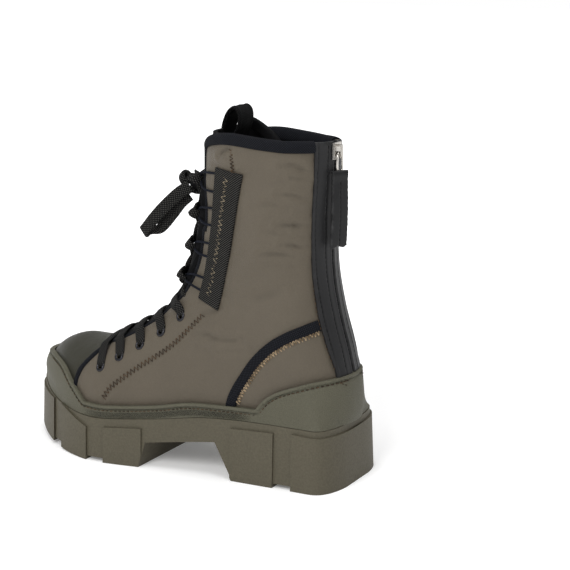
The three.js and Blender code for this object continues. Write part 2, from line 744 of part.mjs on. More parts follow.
// The cord loops: each leaves the twill strip, turns past the facing's edge and goes back under it.
const cordRows = [
  { up: 0.466, spread: 4.5 },
  { up: 0.586, spread: 5 },
  { up: 0.706, spread: 6.5 },
  { up: 0.832, spread: 7 },
];
const tipY = throatHalf - 5;
const cordLift = gap * 4 + bindingThickness + cordRadius;
const stripFront = (z) => {
  const [top, foot] = [stripCorners[0], stripCorners[3]];
  const t = (top.up - (z - heelHeight) / rise) / (top.up - foot.up);
  return (top.x + (foot.x - top.x) * t) * soleLength;
};

function cordLoop({ up, spread }, side) {
  const z = heelHeight + up * rise;
  const leg = (dz) => {
    const start = stripFront(z + dz);
    const root = over(start + 1.5, side * throatHalf * 2.1, z + dz, cordLift);
    return [root, over(start + 9, side * (throatHalf + 3), z + dz * 0.9, cordLift)];
  };
  const tip = [over(stripFront(z) + 20, side * tipY, z, cordLift - 0.3)];
  const stops = [...leg(spread), ...tip, ...leg(-spread).reverse()];
  return strand(stops, cordRadius * 1.8, cordRadius * 1.8, 8);
}

for (const [name, side] of Object.entries(sides))
  cordRows.forEach((row, i) => add(`lace_loop_${name}_${i + 1}`, cordLoop(row, side), black, 0.8));

// The lace: a bar over the first eyelets, then crossings from row to row, joined where they meet.
const bulge = 2.3; // how far the form can rise between two stops of the lace
const laceLift = gap * 2 + eyeletThickness + laceThickness / 2 + bulge;
const laceTurn = tipY - cordRadius - gap - laceWidth / 2;
const crossingLow = -0.5;
const laceRows = [
  ...eyeletRows.map(({ x, y, up }) => ({
    x: x * soleLength,
    y: y * ballWidth,
    z: heelHeight + up * rise,
    lift: laceLift,
  })),
  ...cordRows.map(({ up }) => ({
    x: stripFront(heelHeight + up * rise) + 20,
    y: laceTurn,
    z: heelHeight + up * rise,
    lift: crossingLow,
  })),
];

// A crossing that leaves the eyelets for the cord loops sinks between the facings.
const crossingSteps = 5;

function crossing(from, to, side) {
  const [low, high] = [Math.min(from.lift, to.lift), Math.max(from.lift, to.lift)];
  const stops = [];
  for (let i = 0; i <= crossingSteps; i++) {
    const t = i / crossingSteps;
    const mix = (key) => from[key] + (to[key] - from[key]) * t;
    const y = side * (from.y * (1 - t) - to.y * t);
    const outward = Math.min(Math.max((Math.abs(y) / throatHalf - 0.4) / 0.3, 0), 1);
    stops.push(over(mix("x"), y, mix("z"), low + (high - low) * outward));
  }
  return strand(stops, laceWidth, laceThickness, crossingSteps);
}

let lace = crossing(laceRows[0], laceRows[0], 1);
for (let i = 1; i < laceRows.length; i++)
  for (const side of Object.values(sides)) lace = lace.add(crossing(laceRows[i - 1], laceRows[i], side));
add("lace_crossings", lace, black, 0.9);

// The bow: a knot in front of the top crossing and two loops of lace that fall from it, the outer
// one forwards and the inner one down beside the shaft.
const knotZ = heelHeight + cordRows.at(-1).up * rise - 7;
const knotRadius = 7;
const knotX = onForm(soleLength * 0.44, 0, knotZ).point.x + knotRadius * 1.51;
const knot = new THREE.IcosahedronGeometry(knotRadius, 1);
knot.scale(1.5, 1.25, 0.95);
knot.translate(knotX, 0, knotZ);
add("bow_knot", solidOf(knot), black, 0.9);

// The fold of each bow loop from the knot to its end and back, in shares of the bow's length.
const bowFolds = {
  outer: [
    { forward: 0.03, out: 0.184, up: -0.03 },
    { forward: 0.14, out: 0.24, up: -0.1 },
    { forward: 0.27, out: 0.27, up: -0.21 },
    { forward: 0.46, out: 0.29, up: -0.39 },
    { forward: 0.65, out: 0.3, up: -0.59 },
    { forward: 0.79, out: 0.285, up: -0.745 },
    { forward: 0.83, out: 0.235, up: -0.79 },
    { forward: 0.77, out: 0.185, up: -0.775 },
    { forward: 0.59, out: 0.17, up: -0.71 },
    { forward: 0.35, out: 0.172, up: -0.46 },
    { forward: 0.2, out: 0.165, up: -0.28 },
    { forward: 0.08, out: 0.13, up: -0.17 },
  ],
  inner: [
    { forward: 0.06, out: 0.175, up: -0.02 },
    { forward: 0.08, out: 0.33, up: -0.1 },
    { forward: 0.07, out: 0.43, up: -0.3 },
    { forward: 0.06, out: 0.47, up: -0.54 },
    { forward: 0.05, out: 0.47, up: -0.72 },
    { forward: 0, out: 0.46, up: -0.78 },
    { forward: -0.05, out: 0.46, up: -0.71 },
    { forward: -0.04, out: 0.45, up: -0.52 },
    { forward: -0.02, out: 0.4, up: -0.32 },
    { forward: -0.01, out: 0.3, up: -0.17 },
    { forward: 0, out: 0.17, up: -0.14 },
  ],
};

// A bow loop whose flat side faces one way where it leaves the knot, and turns with the fold.
function bowLoop(fold, side, facing) {
  const places = fold.map(({ forward, out, up }) => {
    const [x, y, z] = [forward, out, up].map((share) => share * bowLength);
    return new THREE.Vector3(knotX + x, side * y, knotZ + z);
  });
  const lengthwise = places[Math.floor(places.length / 2)].clone().sub(places[0]);
  const widthwise = lengthwise.cross(facing).normalize();
  const stops = places.map((point, i) => {
    const next = places[Math.min(i + 1, places.length - 1)];
    const run = next.clone().sub(places[Math.max(i - 1, 0)]);
    return { point, normal: widthwise.clone().cross(run).normalize() };
  });
  return strand(stops, laceWidth, laceThickness, 16);
}
add("bow_loop_outer", bowLoop(bowFolds.outer, 1, new THREE.Vector3(0, 1, 0)), black, 0.9);
add("bow_loop_inner", bowLoop(bowFolds.inner, -1, new THREE.Vector3(1, 0, 0)), black, 0.9);

// The webbing loop on the tongue: it rises from the tongue's inner face and turns back to it, in
// shares of its own width.
const loopFold = [
  { back: 0, up: -0.78 },
  { back: 0, up: -0.4 },
  { back: 0.06, up: -0.05 },
  { back: 0.14, up: 0.32 },
  { back: 0.31, up: 0.66 },
  { back: 0.54, up: 0.81 },
  { back: 0.7, up: 0.68 },
  { back: 0.73, up: 0.41 },
  { back: 0.65, up: 0.09 },
  { back: 0.45, up: -0.2 },
  { back: 0.22, up: -0.4 },
  { back: 0.12, up: -0.6 },
  { back: 0.12, up: -0.8 },
];

function pullLoop() {
  const tongueInner = padWall + gap * 2 + tongueThickness;
  const bowed = 2.2; // the tongue's inner face stands this much further back at the loop's edges
  const front = onForm(soleLength * 0.44, 0, collarHeight).point.x - tongueInner - bowed - loopThickness / 2;
  const places = loopFold.map(
    ({ back, up }) => new THREE.Vector3(front - back * loopWidth, 0, collarHeight + up * loopWidth),
  );
  const stops = places.map((point, i) => {
    const next = places[Math.min(i + 1, places.length - 1)];
    const run = next.clone().sub(places[Math.max(i - 1, 0)]);
    return { point, normal: new THREE.Vector3(-run.z, 0, run.x).normalize() };
  });
  return strand(stops, loopWidth, loopThickness, 18);
}
add("pull_loop", pullLoop(), black, 0.7);

// The zip's slider with the bail that holds the ring, and the ring and tab that hang from it. Their
// depths are measured outwards from the shaft's back.
const sliderTop = collarBack - gap * 4;
const shaftBack = onForm(-zipBack, 0, sliderTop - sliderLength / 2).point.x;
const behind = (from, to, half, low, high) => box(shaftBack - to, shaftBack - from, -half, half, low, high);
const sliderFace = gap * 2 + bindingThickness + sliderThickness;
const bailGap = pinRadius * 2 + gap * 3;
const bailBar = 1;
const bailFoot = 1.2;
const pinZ = sliderTop - sliderLength * 0.62;
const pinDepth = sliderFace + bailGap / 2;
const bailTop = sliderTop - 1.5;
const bailLow = pinZ - pinRadius - gap - bailFoot;

function slider() {
  const foot = sliderTop - sliderLength;
  const body = behind(sliderFace - sliderThickness, sliderFace, sliderHalf, foot, sliderTop);
  const bail = behind(sliderFace - 0.5, sliderFace + bailGap + bailBar, bailHalf, bailLow, bailTop);
  const eye = behind(sliderFace, sliderFace + bailGap, farSide, bailLow + bailFoot, bailTop - bailFoot);
  return body.add(bail).subtract(eye);
}
add("zip_slider", slider(), 0xb9b6b0, 0.3, 1);

const ringInner = bailHalf + 2;
const ringBar = 1.5;
const ringHalf = ringInner + ringBar;
const ringLength = 15;
function puller() {
  const pin = new THREE.CylinderGeometry(pinRadius, pinRadius, ringHalf * 2, 10);
  pin.translate(shaftBack - pinDepth, 0, pinZ);
  const frame = behind(pinDepth - pinRadius, pinDepth + pinRadius, ringHalf, pinZ - ringLength, pinZ);
  const hole = behind(pinDepth - 5, pinDepth + 5, ringInner, pinZ - ringLength + ringBar, pinZ + pinRadius);
  return frame.subtract(hole).add(solidOf(pin));
}
add("zip_puller", puller(), 0xb9b6b0, 0.3, 1);

function pullTab() {
  const top = pinZ - ringLength + ringBar * 2;
  const ply = behind(pinDepth - 1, pinDepth + 1, tabHalf, top - tabLength, top);
  const fold = behind(pinDepth - pinRadius - 0.9, pinDepth + pinRadius + 0.9, tabHalf, top - 7, top);
  const pocketDepth = pinRadius + gap;
  const pocketFloor = pinZ - ringLength - gap;
  const pocket = behind(pinDepth - pocketDepth, pinDepth + pocketDepth, ringHalf + gap, pocketFloor, pinZ);
  return ply.add(fold).subtract(pocket);
}
add("pull_tab", pullTab(), 0x222426, 0.6);

boot.position.x = -heelCentre;
export default boot;
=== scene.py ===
# %% [markdown]
# A padded ankle boot with a chunky rubber sole. The real boot is sewn from padded nylon panels over
# a last, then cemented to a moulded sole with a rubber rand round its foot. This scene rebuilds its
# skin on the same form that the CAD frame uses, so that every panel sits where the frame has it.

# %% [markdown]
# The frame is the simple CAD model of the boot: its nodes, their boxes and their bodies. Everything
# below is placed in its coordinates, so loading comes first. NumPy does the sums on whole grids of
# points, because a padded skin has far too many points for a Python loop.

# %% load the frame
import math

import bmesh
import bpy
import numpy as np
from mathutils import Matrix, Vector
from mathutils.bvhtree import BVHTree


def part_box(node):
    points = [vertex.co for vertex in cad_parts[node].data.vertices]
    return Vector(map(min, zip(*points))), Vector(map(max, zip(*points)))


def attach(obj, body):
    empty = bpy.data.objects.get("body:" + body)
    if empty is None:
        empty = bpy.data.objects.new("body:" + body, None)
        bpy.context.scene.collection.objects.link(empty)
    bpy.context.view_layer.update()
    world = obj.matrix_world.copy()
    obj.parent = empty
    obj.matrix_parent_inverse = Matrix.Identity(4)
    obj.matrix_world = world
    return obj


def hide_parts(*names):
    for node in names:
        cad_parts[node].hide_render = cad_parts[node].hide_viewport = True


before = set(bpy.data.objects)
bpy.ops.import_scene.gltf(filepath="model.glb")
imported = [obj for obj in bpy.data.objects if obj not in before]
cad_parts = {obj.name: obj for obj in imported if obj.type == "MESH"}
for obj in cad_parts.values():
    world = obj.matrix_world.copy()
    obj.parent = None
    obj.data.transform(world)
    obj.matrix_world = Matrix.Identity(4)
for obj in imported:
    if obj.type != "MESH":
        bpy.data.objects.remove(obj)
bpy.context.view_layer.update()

# %% [markdown]
# A product photograph is taken with a long lens, from a little above, under large soft lights on
# white paper. The camera's place and lens were fitted to the outline of the boot. A softbox is an
# area light: the larger it is, the softer the shadow. The paper shines a little further out, so
# that it turns pure white round the boot while the shadow under the arch stays.

# %% camera, light and floor
MM = 0.001
scene = bpy.context.scene
scene.view_settings.view_transform = "Standard"


def aim(thing, place, target):
    thing.location = place
    thing.rotation_mode = "QUATERNION"
    thing.rotation_quaternion = (Vector(target) - Vector(place)).to_track_quat("-Z", "Y")
    scene.collection.objects.link(thing)


camera_data = bpy.data.cameras.new("camera")
camera_data.lens, camera_data.sensor_width = 102.48, 36
camera_data.clip_start, camera_data.clip_end = 0.05, 20
camera = bpy.data.objects.new("camera", camera_data)
aim(camera, (-0.5633, 1.0284, 0.4082), (-0.00491, 0, 0.14234))
scene.camera = camera


def softbox(name, place, target, size, power):
    data = bpy.data.lights.new(name, "AREA")
    data.shape, data.size, data.energy = "DISK", size, power
    aim(bpy.data.objects.new(name, data), place, target)


softbox("key", (0.0, 1.8, 1.5), (0, 0, 0.1), 1.1, 28)
softbox("back", (-1.3, -0.7, 1.3), (0, 0, 0.12), 0.9, 1)
softbox("top", (0.0, 0.0, 2.0), (0, 0, 0), 1.6, 22)

world = bpy.data.worlds.new("studio")
world.use_nodes = True
sky = world.node_tree
sky.nodes["Background"].inputs["Color"].default_value = (1, 1, 1, 1)
seen = sky.nodes.new("ShaderNodeLightPath").outputs["Is Camera Ray"]
level = sky.nodes.new("ShaderNodeMapRange")
level.inputs["To Min"].default_value, level.inputs["To Max"].default_value = 0.47, 1.0
sky.links.new(seen, level.inputs["Value"])
sky.links.new(level.outputs["Result"], sky.nodes["Background"].inputs["Strength"])
scene.world = world

floor_mesh = bpy.data.meshes.new("floor")
floor_mesh.from_pydata([(-6, -6, 0), (6, -6, 0), (6, 6, 0), (-6, 6, 0)], [], [(0, 1, 2, 3)])
floor = bpy.data.objects.new("floor", floor_mesh)
scene.collection.objects.link(floor)

# %% [markdown]
# A material is a graph of nodes. Typing each link out makes a long script, so a small class adds a
# node, sets its sockets and gives back its output in one call. Colours are written as the 0 to 255
# values that a painter would pick and are turned into the linear values that the renderer wants.

# %% node helpers


def linear(red, green, blue):
    def one(value):
        value /= 255
        return value / 12.92 if value <= 0.04045 else ((value + 0.055) / 1.055) ** 2.4

    return (one(red), one(green), one(blue), 1)


class Nodes:
    def __init__(self, tree):
        self.tree = tree

    def add(self, kind, *values, **settings):
        node = self.tree.nodes.new(kind)
        outputs = settings.pop("out", 0)
        named = settings.pop("named", {})
        for key, value in settings.items():
            setattr(node, key, value)
        for i, value in enumerate(values):
            self.put(node.inputs[i], value)
        for key, value in named.items():
            self.put(node.inputs[key], value)
        return node.outputs[outputs]

    def put(self, socket, value):
        if isinstance(value, bpy.types.NodeSocket):
            self.tree.links.new(value, socket)
        elif value is not None:
            socket.default_value = value

    def math(self, operation, *values):
        return self.add("ShaderNodeMath", *values, operation=operation)

    def mix(self, factor, a, b):
        node = self.tree.nodes.new("ShaderNodeMix")
        node.data_type = "RGBA"
        self.put(node.inputs[0], factor)
        self.put(node.inputs[6], a)
        self.put(node.inputs[7], b)
        return node.outputs[2]

    def ramp(self, value, low, high):
        node = self.tree.nodes.new("ShaderNodeMapRange")
        self.put(node.inputs[0], value)
        self.put(node.inputs[1], low)
        self.put(node.inputs[2], high)
        return node.outputs[0]

    def noise(self, place, scale, detail=2.0, roughness=0.5):
        return self.add(
            "ShaderNodeTexNoise",
            named={"Vector": place, "Scale": scale, "Detail": detail, "Roughness": roughness},
        )


# %% [markdown]
# Mottling, weave, and wear with painted shade appear in many materials of the boot. Each is a node
# group with named sockets, built once and placed with other values in each material. The weave is
# made of two sine waves that cross, for a plain weave, or of one slanting wave, for a twill: that is
# cheaper and sharper than a picture, and it follows the cloth's own map. Wear and painted shade use
# Pointiness, which is high on edges and low in creases: scuffed edges give the wear, and creases give
# a mask of painted shade.

# %% effects that several materials share
def group(name, inputs, outputs, build):
    tree = bpy.data.node_groups.new(name, "ShaderNodeTree")
    for label, kind, value in inputs:
        socket = tree.interface.new_socket(label, in_out="INPUT", socket_type=kind)
        if value is not None:
            socket.default_value = value
    for label, kind in outputs:
        tree.interface.new_socket(label, in_out="OUTPUT", socket_type=kind)
    nodes = Nodes(tree)
    given = tree.nodes.new("NodeGroupInput")
    result = tree.nodes.new("NodeGroupOutput")
    made = build(nodes, given.outputs)
    for label, value in made.items():
        nodes.put(result.inputs[label], value)
    return tree


FLOAT, COLOR, VECTOR = "NodeSocketFloat", "NodeSocketColor", "NodeSocketVector"


def mottle(nodes, given):
    broad = nodes.noise(given["Place"], 38.0, 3.0)
    fine = nodes.noise(given["Place"], 900.0, 2.0)
    both = nodes.math("ADD", nodes.math("MULTIPLY", broad, 0.45), nodes.math("MULTIPLY", fine, 0.55))
    shift = nodes.math("MULTIPLY", nodes.math("SUBTRACT", both, 0.5), given["Amount"])
    bright = nodes.math("ADD", shift, 1.0)
    scaled = nodes.add(
        "ShaderNodeVectorMath", given["Color"], named={"Scale": bright}, operation="SCALE"
    )
    return {"Color": scaled, "Rough": nodes.math("MULTIPLY", shift, 0.5)}


mottled = group(
    "mottled",
    [("Place", VECTOR, None), ("Color", COLOR, None), ("Amount", FLOAT, 0.2)],
    [("Color", COLOR), ("Rough", FLOAT)],
    mottle,
)


def weave(nodes, given):
    split = nodes.add("ShaderNodeSeparateXYZ", given["Place"])
    u, v = split.node.outputs[0], split.node.outputs[1]
    across = nodes.math("SINE", nodes.math("MULTIPLY", u, given["Threads"]))
    along_it = nodes.math("SINE", nodes.math("MULTIPLY", v, given["Threads"]))
    plain = nodes.math("MULTIPLY", across, along_it)
    slant = nodes.math("SINE", nodes.math("MULTIPLY", nodes.math("SUBTRACT", u, v), given["Threads"]))
    inverse = nodes.math("SUBTRACT", 1.0, given["Twill"])
    both = nodes.math(
        "ADD", nodes.math("MULTIPLY", plain, inverse), nodes.math("MULTIPLY", slant, given["Twill"])
    )
    rough = nodes.noise(given["Place"], 2600.0, 2.0)
    return {"Height": nodes.math("ADD", both, nodes.math("MULTIPLY", rough, 0.6))}


weave_height = group(
    "weave",
    [("Place", VECTOR, None), ("Threads", FLOAT, 9000.0), ("Twill", FLOAT, 0.0)],
    [("Height", FLOAT)],
    weave,
)


def build_wear_and_shade(nodes, given):
    point = nodes.add("ShaderNodeNewGeometry", out="Pointiness")
    edge = nodes.ramp(point, 0.5, 0.56)
    # Painted shade mask: low Pointiness, in creases and hollows, where shade falls.
    low = nodes.ramp(point, 0.5, 0.44)
    scuffs = nodes.ramp(nodes.noise(given["Place"], 160.0, 5.0, 0.7), 0.45, 0.7)
    return {"Edge": nodes.math("MULTIPLY", edge, scuffs), "Crevice_shade": low}


wear_and_shade = group(
    "wear_and_shade", [("Place", VECTOR, None)], [("Edge", FLOAT), ("Crevice_shade", FLOAT)], build_wear_and_shade
)


def use(nodes, tree, named):
    node = nodes.tree.nodes.new("ShaderNodeGroup")
    node.node_tree = tree
    for key, value in named.items():
        nodes.put(node.inputs[key], value)
    return node.outputs


def material(name, build):
    made = bpy.data.materials.new(name)
    made.use_nodes = True
    nodes = Nodes(made.node_tree)
    shader = made.node_tree.nodes["Principled BSDF"]
    place = nodes.add("ShaderNodeTexCoord", out="Object")
    cloth = nodes.add("ShaderNodeUVMap", uv_map="cloth")
    for key, value in build(nodes, place, cloth).items():
        nodes.put(shader.inputs[key], value)
    return made


def toned(nodes, place, color, amount):
    return use(nodes, mottled, {"Place": place, "Color": linear(*color), "Amount": amount})


def bump(nodes, height, strength, distance, normal=None):
    return nodes.add(
        "ShaderNodeBump",
        named={"Strength": strength, "Distance": distance, "Height": height, "Normal": normal},
    )


# %% [markdown]
# The quarters and the toe piece are dense nylon with a faint satin sheen. The threads are finer
# than a pixel, so they are a bump that only breaks up the light. A gentler bump underneath gives
# the soft unevenness of cloth over foam, and creases get painted shade: their colour is mixed a
# little darker than what stands proud.

# %% nylon
def nylon_look(color, sheen=0.06, amount=0.4, roughness=0.5, threads=11000.0):
    def build(nodes, place, cloth):
        tone = toned(nodes, place, color, amount)
        woven = use(nodes, weave_height, {"Place": cloth, "Threads": threads})
        edge_wear_and_shade = use(nodes, wear_and_shade, {"Place": place})
        # Painted shade: creases, where Pointiness is low, are mixed a little towards near-black.
        low = nodes.math("MULTIPLY", edge_wear_and_shade["Crevice_shade"], 0.35)
        dark = nodes.mix(low, tone["Color"], (0.01, 0.01, 0.008, 1))
        soft = nodes.noise(place, 120.0, 3.0)
        under = bump(nodes, soft, 0.3, 0.002)
        return {
            "Base Color": dark,
            "Roughness": nodes.math("ADD", tone["Rough"], roughness),
            "Specular IOR Level": 0.2,
            "Sheen Weight": sheen,
            "Sheen Roughness": 0.45,
            "Normal": bump(nodes, woven["Height"], 0.35, 0.00015, under),
        }

    return build


nylon = material("nylon", nylon_look((85, 78, 67)))
toe_fabric = material("toe_fabric", nylon_look((45, 44, 35), 0.03, 0.16, 0.42, 13000.0))


# %% [markdown]
# The rand is grained rubber and the sole is smoother. Both are matt with a weak, broad shine, so
# roughness is high and varies with the same speckle that drives the bump. A narrow band under the
# rand's stitches has fine slanted ribs: an attribute on the mesh says where.

# %% rubber
def rubber_look(color, grain, strength, edges):
    def build(nodes, place, cloth):
        tone = toned(nodes, place, color, 0.07)
        edge_wear_and_shade = use(nodes, wear_and_shade, {"Place": place})
        # Painted shade: hollows, where Pointiness is low, are mixed towards near-black by twice the edges
        # amount; the next line pales the scuffed edges, which is wear.
        low = nodes.math("MULTIPLY", edge_wear_and_shade["Crevice_shade"], edges * 2)
        dark = nodes.mix(low, tone["Color"], (0.012, 0.012, 0.008, 1))
        pale = nodes.mix(nodes.math("MULTIPLY", edge_wear_and_shade["Edge"], edges), dark, linear(112, 110, 96))
        speck = nodes.noise(place, grain, 2.0, 0.6)
        specks = nodes.math("MULTIPLY", nodes.ramp(speck, 0.35, 0.65), 0.25)
        pale = nodes.mix(specks, pale, (0.03, 0.028, 0.02, 1))
        ribs = nodes.add("ShaderNodeAttribute", attribute_name="ribs", out="Fac")
        split = nodes.add("ShaderNodeSeparateXYZ", place)
        slant = nodes.math("ADD", split.node.outputs[0], nodes.math("MULTIPLY", split.node.outputs[2], 0.9))
        wave = nodes.math("MULTIPLY", nodes.math("SINE", nodes.math("MULTIPLY", slant, 3900.0)), ribs)
        first = bump(nodes, wave, 1.0, 0.0007)
        lines = nodes.math("MULTIPLY", nodes.ramp(wave, 0.0, 0.9), 0.16)
        pale = nodes.mix(lines, pale, (0.025, 0.024, 0.016, 1))
        return {
            "Base Color": pale,
            "Roughness": nodes.math("ADD", nodes.math("MULTIPLY", speck, 0.2), 0.52),
            "Specular IOR Level": 0.3,
            "Normal": bump(nodes, speck, strength, 0.0005, first),
        }

    return build


rubber = material("rubber", rubber_look((81, 76, 62), 700.0, 0.25, 0.0))
grained_rubber = material("grained_rubber", rubber_look((82, 80, 66), 1300.0, 0.9, 0.25))


# %% [markdown]
# Laces, bindings, webbing and the twill strips are all black, and differ by weave. Black cloth is
# never quite black: the raised part of each thread catches light. So the weave's height mixes a
# pale colour into a dark one as well as driving the bump.

# %% black fabrics
def fabric_look(color, threads, twill, strength, pale, share=0.5, roughness=0.85):
    def build(nodes, place, cloth):
        tone = toned(nodes, place, color, 0.5)
        woven = use(nodes, weave_height, {"Place": cloth, "Threads": threads, "Twill": twill})
        light = nodes.ramp(woven["Height"], 1.3 - share * 1.6, 1.6 - share * 1.6)
        shade = nodes.mix(light, tone["Color"], linear(*pale))
        return {
            "Base Color": shade,
            "Roughness": nodes.math("ADD", tone["Rough"], roughness),
            "Specular IOR Level": 0.12,
            "Normal": bump(nodes, woven["Height"], strength, 0.0004),
        }

    return build


binding_fabric = material("binding_fabric", fabric_look((12, 13, 17), 3600.0, 0.0, 0.9, (36, 38, 44), 0.5))
twill = material("twill", fabric_look((9, 9, 9), 3300.0, 1.0, 1.0, (70, 69, 66), 0.42))
lace_fabric = material("lace_fabric", fabric_look((8, 8, 9), 3000.0, 0.0, 1.0, (66, 65, 62), 0.5))
cord_fabric = material("cord_fabric", fabric_look((8, 9, 14), 5200.0, 1.0, 0.7, (34, 38, 50), 0.5))
webbing = material("webbing", fabric_look((5, 5, 5), 3600.0, 0.3, 0.8, (30, 30, 32), 0.5))
lining_fabric = material("lining_fabric", fabric_look((7, 7, 8), 5200.0, 0.0, 0.5, (24, 24, 26), 0.5))
tongue_fabric = material("tongue_fabric", fabric_look((7, 7, 8), 5200.0, 0.0, 0.5, (26, 26, 28), 0.5))


# %% [markdown]
# The stays along the zip and the tab on its slider are coated fabric: smoother than cloth, with
# paler rubbed edges and painted blue-black shade in the folds. The metal is plain: the eyelets are
# dark and glossy, the slider and its ring are nickel. Threads get a twist from a small noise bump.

# %% coated fabric, metal and thread
def coated_look(color):
    def build(nodes, place, cloth):
        tone = toned(nodes, place, color, 0.25)
        edge_wear_and_shade = use(nodes, wear_and_shade, {"Place": place})
        grain = nodes.add("ShaderNodeTexVoronoi", named={"Vector": place, "Scale": 1500.0})
        pale = nodes.mix(nodes.math("MULTIPLY", edge_wear_and_shade["Edge"], 0.5), tone["Color"], linear(70, 70, 70))
        # Painted shade: folds and hollows, where Pointiness is low, are mixed towards blue-black.
        dark = nodes.mix(nodes.math("MULTIPLY", edge_wear_and_shade["Crevice_shade"], 0.7), pale, linear(8, 9, 12))
        return {
            "Base Color": dark,
            "Roughness": nodes.math("ADD", tone["Rough"], 0.5),
            "Specular IOR Level": 0.22,
            "Normal": bump(nodes, grain, 0.2, 0.0002),
        }

    return build


coated_fabric = material("coated_fabric", coated_look((29, 29, 30)))
tab_fabric = material("tab_fabric", coated_look((21, 21, 22)))


def metal_look(color, roughness):
    def build(nodes, place, cloth):
        tone = toned(nodes, place, color, 0.2)
        scratch = nodes.noise(place, 2500.0, 4.0, 0.7)
        return {
            "Base Color": tone["Color"],
            "Metallic": 1.0,
            "Roughness": nodes.math("ADD", nodes.math("MULTIPLY", scratch, 0.15), roughness),
            "Normal": bump(nodes, scratch, 0.08, 0.0001),
        }

    return build


dark_metal = material("dark_metal", metal_look((52, 52, 55), 0.16))
bright_metal = material("bright_metal", metal_look((178, 174, 168), 0.18))


def thread_look(color, other):
    def build(nodes, place, cloth):
        mixed = nodes.ramp(nodes.noise(place, 420.0, 2.0), 0.42, 0.58)
        shade = nodes.mix(mixed, linear(*color), linear(*other))
        twist = nodes.noise(place, 3000.0, 1.0)
        return {
            "Base Color": shade,
            "Roughness": 0.6,
            "Specular IOR Level": 0.2,
            "Normal": bump(nodes, twist, 0.5, 0.0002),
        }

    return build


brown_thread = material("brown_thread", thread_look((40, 30, 20), (74, 56, 38)))
brown_light = material("brown_light", thread_look((156, 136, 108), (96, 80, 60)))
gold_thread = material("gold_thread", thread_look((132, 120, 100), (28, 26, 25)))
dark_thread = material("dark_thread", thread_look((8, 8, 9), (24, 24, 25)))


# %% [markdown]
# The floor is paper. Its glow grows with distance from the boot, so that it fades into the white of
# the background with no visible horizon.

# %% the paper
def floor_look(nodes, place, cloth):
    tone = use(nodes, mottled, {"Place": place, "Color": (0.93, 0.93, 0.93, 1), "Amount": 0.01})
    away = nodes.add("ShaderNodeVectorMath", place, operation="LENGTH", out="Value")
    glow = nodes.ramp(away, 0.25, 1.1)
    return {
        "Base Color": tone["Color"],
        "Roughness": 0.9,
        "Specular IOR Level": 0.1,
        "Emission Color": (1, 1, 1, 1),
        "Emission Strength": nodes.math("ADD", nodes.math("MULTIPLY", glow, 0.6), 0.14),
    }


floor_mesh.materials.append(material("paper", floor_look))
print("materials:", len(bpy.data.materials))

# %% [markdown]
# The boot's upper is drawn like a shoemaker's last: a stack of rings from the toe to the collar,
# each given by where its front and back lie, how wide it is and how square. These tables are those
# of the CAD, so that the padded skin lies exactly on the solid that it replaces. Lengths are
# millimetres from the heel's back, and are turned into the frame's metres when a mesh is made.

# %% sizes in millimetres, as in the CAD
heel_centre = 66.0
sole_length, ball_width = 292.0, 106.5
heel_height, platform, toe_rim, toe_spring = 46.5, 34.0, 46.0, 8.0
heel_corner, side_draft, lug_relief, tread_groove, arch_height = 20.0, 2.5, 1.6, 3.0, 27.0
collar_height, collar_tilt, pad_wall, toe_step = 255.0, 0.04, 4.5, 1.6
throat_half, zip_slot, gap = 19.0, 6.5, 0.3
rise = collar_height - heel_height
far = 400.0


def spline(rows):
    """Smooth curves through a table whose first column is the place."""
    rows = np.array(rows, float)
    at, values = rows[:, 0], rows[:, 1:]
    slope = np.empty_like(values)
    slope[1:-1] = (values[2:] - values[:-2]) / (at[2:] - at[:-2])[:, None]
    slope[0] = (values[1] - values[0]) / (at[1] - at[0])
    slope[-1] = (values[-1] - values[-2]) / (at[-1] - at[-2])

    def value(where):
        where = np.atleast_1d(np.asarray(where, float))
        i = np.clip(np.searchsorted(at, where, side="right") - 1, 0, len(at) - 2)
        span = at[i + 1] - at[i]
        t = np.clip((where - at[i]) / span, 0, 1)[:, None]
        a, b = values[i], values[i + 1]
        m, n = slope[i] * span[:, None], slope[i + 1] * span[:, None]
        return (
            a * (2 * t**3 - 3 * t**2 + 1) + m * (t**3 - 2 * t**2 + t)
            + b * (3 * t**2 - 2 * t**3) + n * (t**3 - t**2)
        )

    return value


sole_outline = spline([
    (0, -0.026, 0.438), (0.1715, -0.016, 0.434), (0.28, 0.002, 0.425), (0.3934, 0.019, 0.418),
    (0.5315, 0.028, 0.456), (0.6745, 0.035, 0.5), (0.7534, 0.006, 0.5), (0.8373, -0.047, 0.5),
    (0.9014, -0.094, 0.5), (0.9458, -0.124, 0.5), (1, -0.14, 0.5),
])
toe_start = 0.6745
top_profile = spline([
    (0, 1, 0), (0.2307, 1, 0), (0.3589, 0.84, 0), (0.5068, 0.36, 0), (0.6745, 0, 0),
    (0.8027, 0, 0.16), (0.9014, 0, 0.5), (1, 0, 1),
])


def sole_top(x):
    heel, toe = top_profile(np.clip(np.atleast_1d(x) / sole_length, 0, 1)).T
    return platform + heel * (heel_height - platform) + toe * (toe_rim - platform)


def sole_bottom(x):
    return toe_spring * np.maximum(0, (x / sole_length - toe_start) / (1 - toe_start)) ** 2


def sole_half(x):
    back = np.clip(1 - x / heel_corner, 0, 1)
    toe = np.clip((x / sole_length - toe_start) / (1 - toe_start), 0, 1)
    ends = (1 - back**2.6) ** (1 / 2.6) * (1 - toe**2) ** (1 / 1.75)
    return sole_outline(x / sole_length)[:, 1] * ball_width * ends


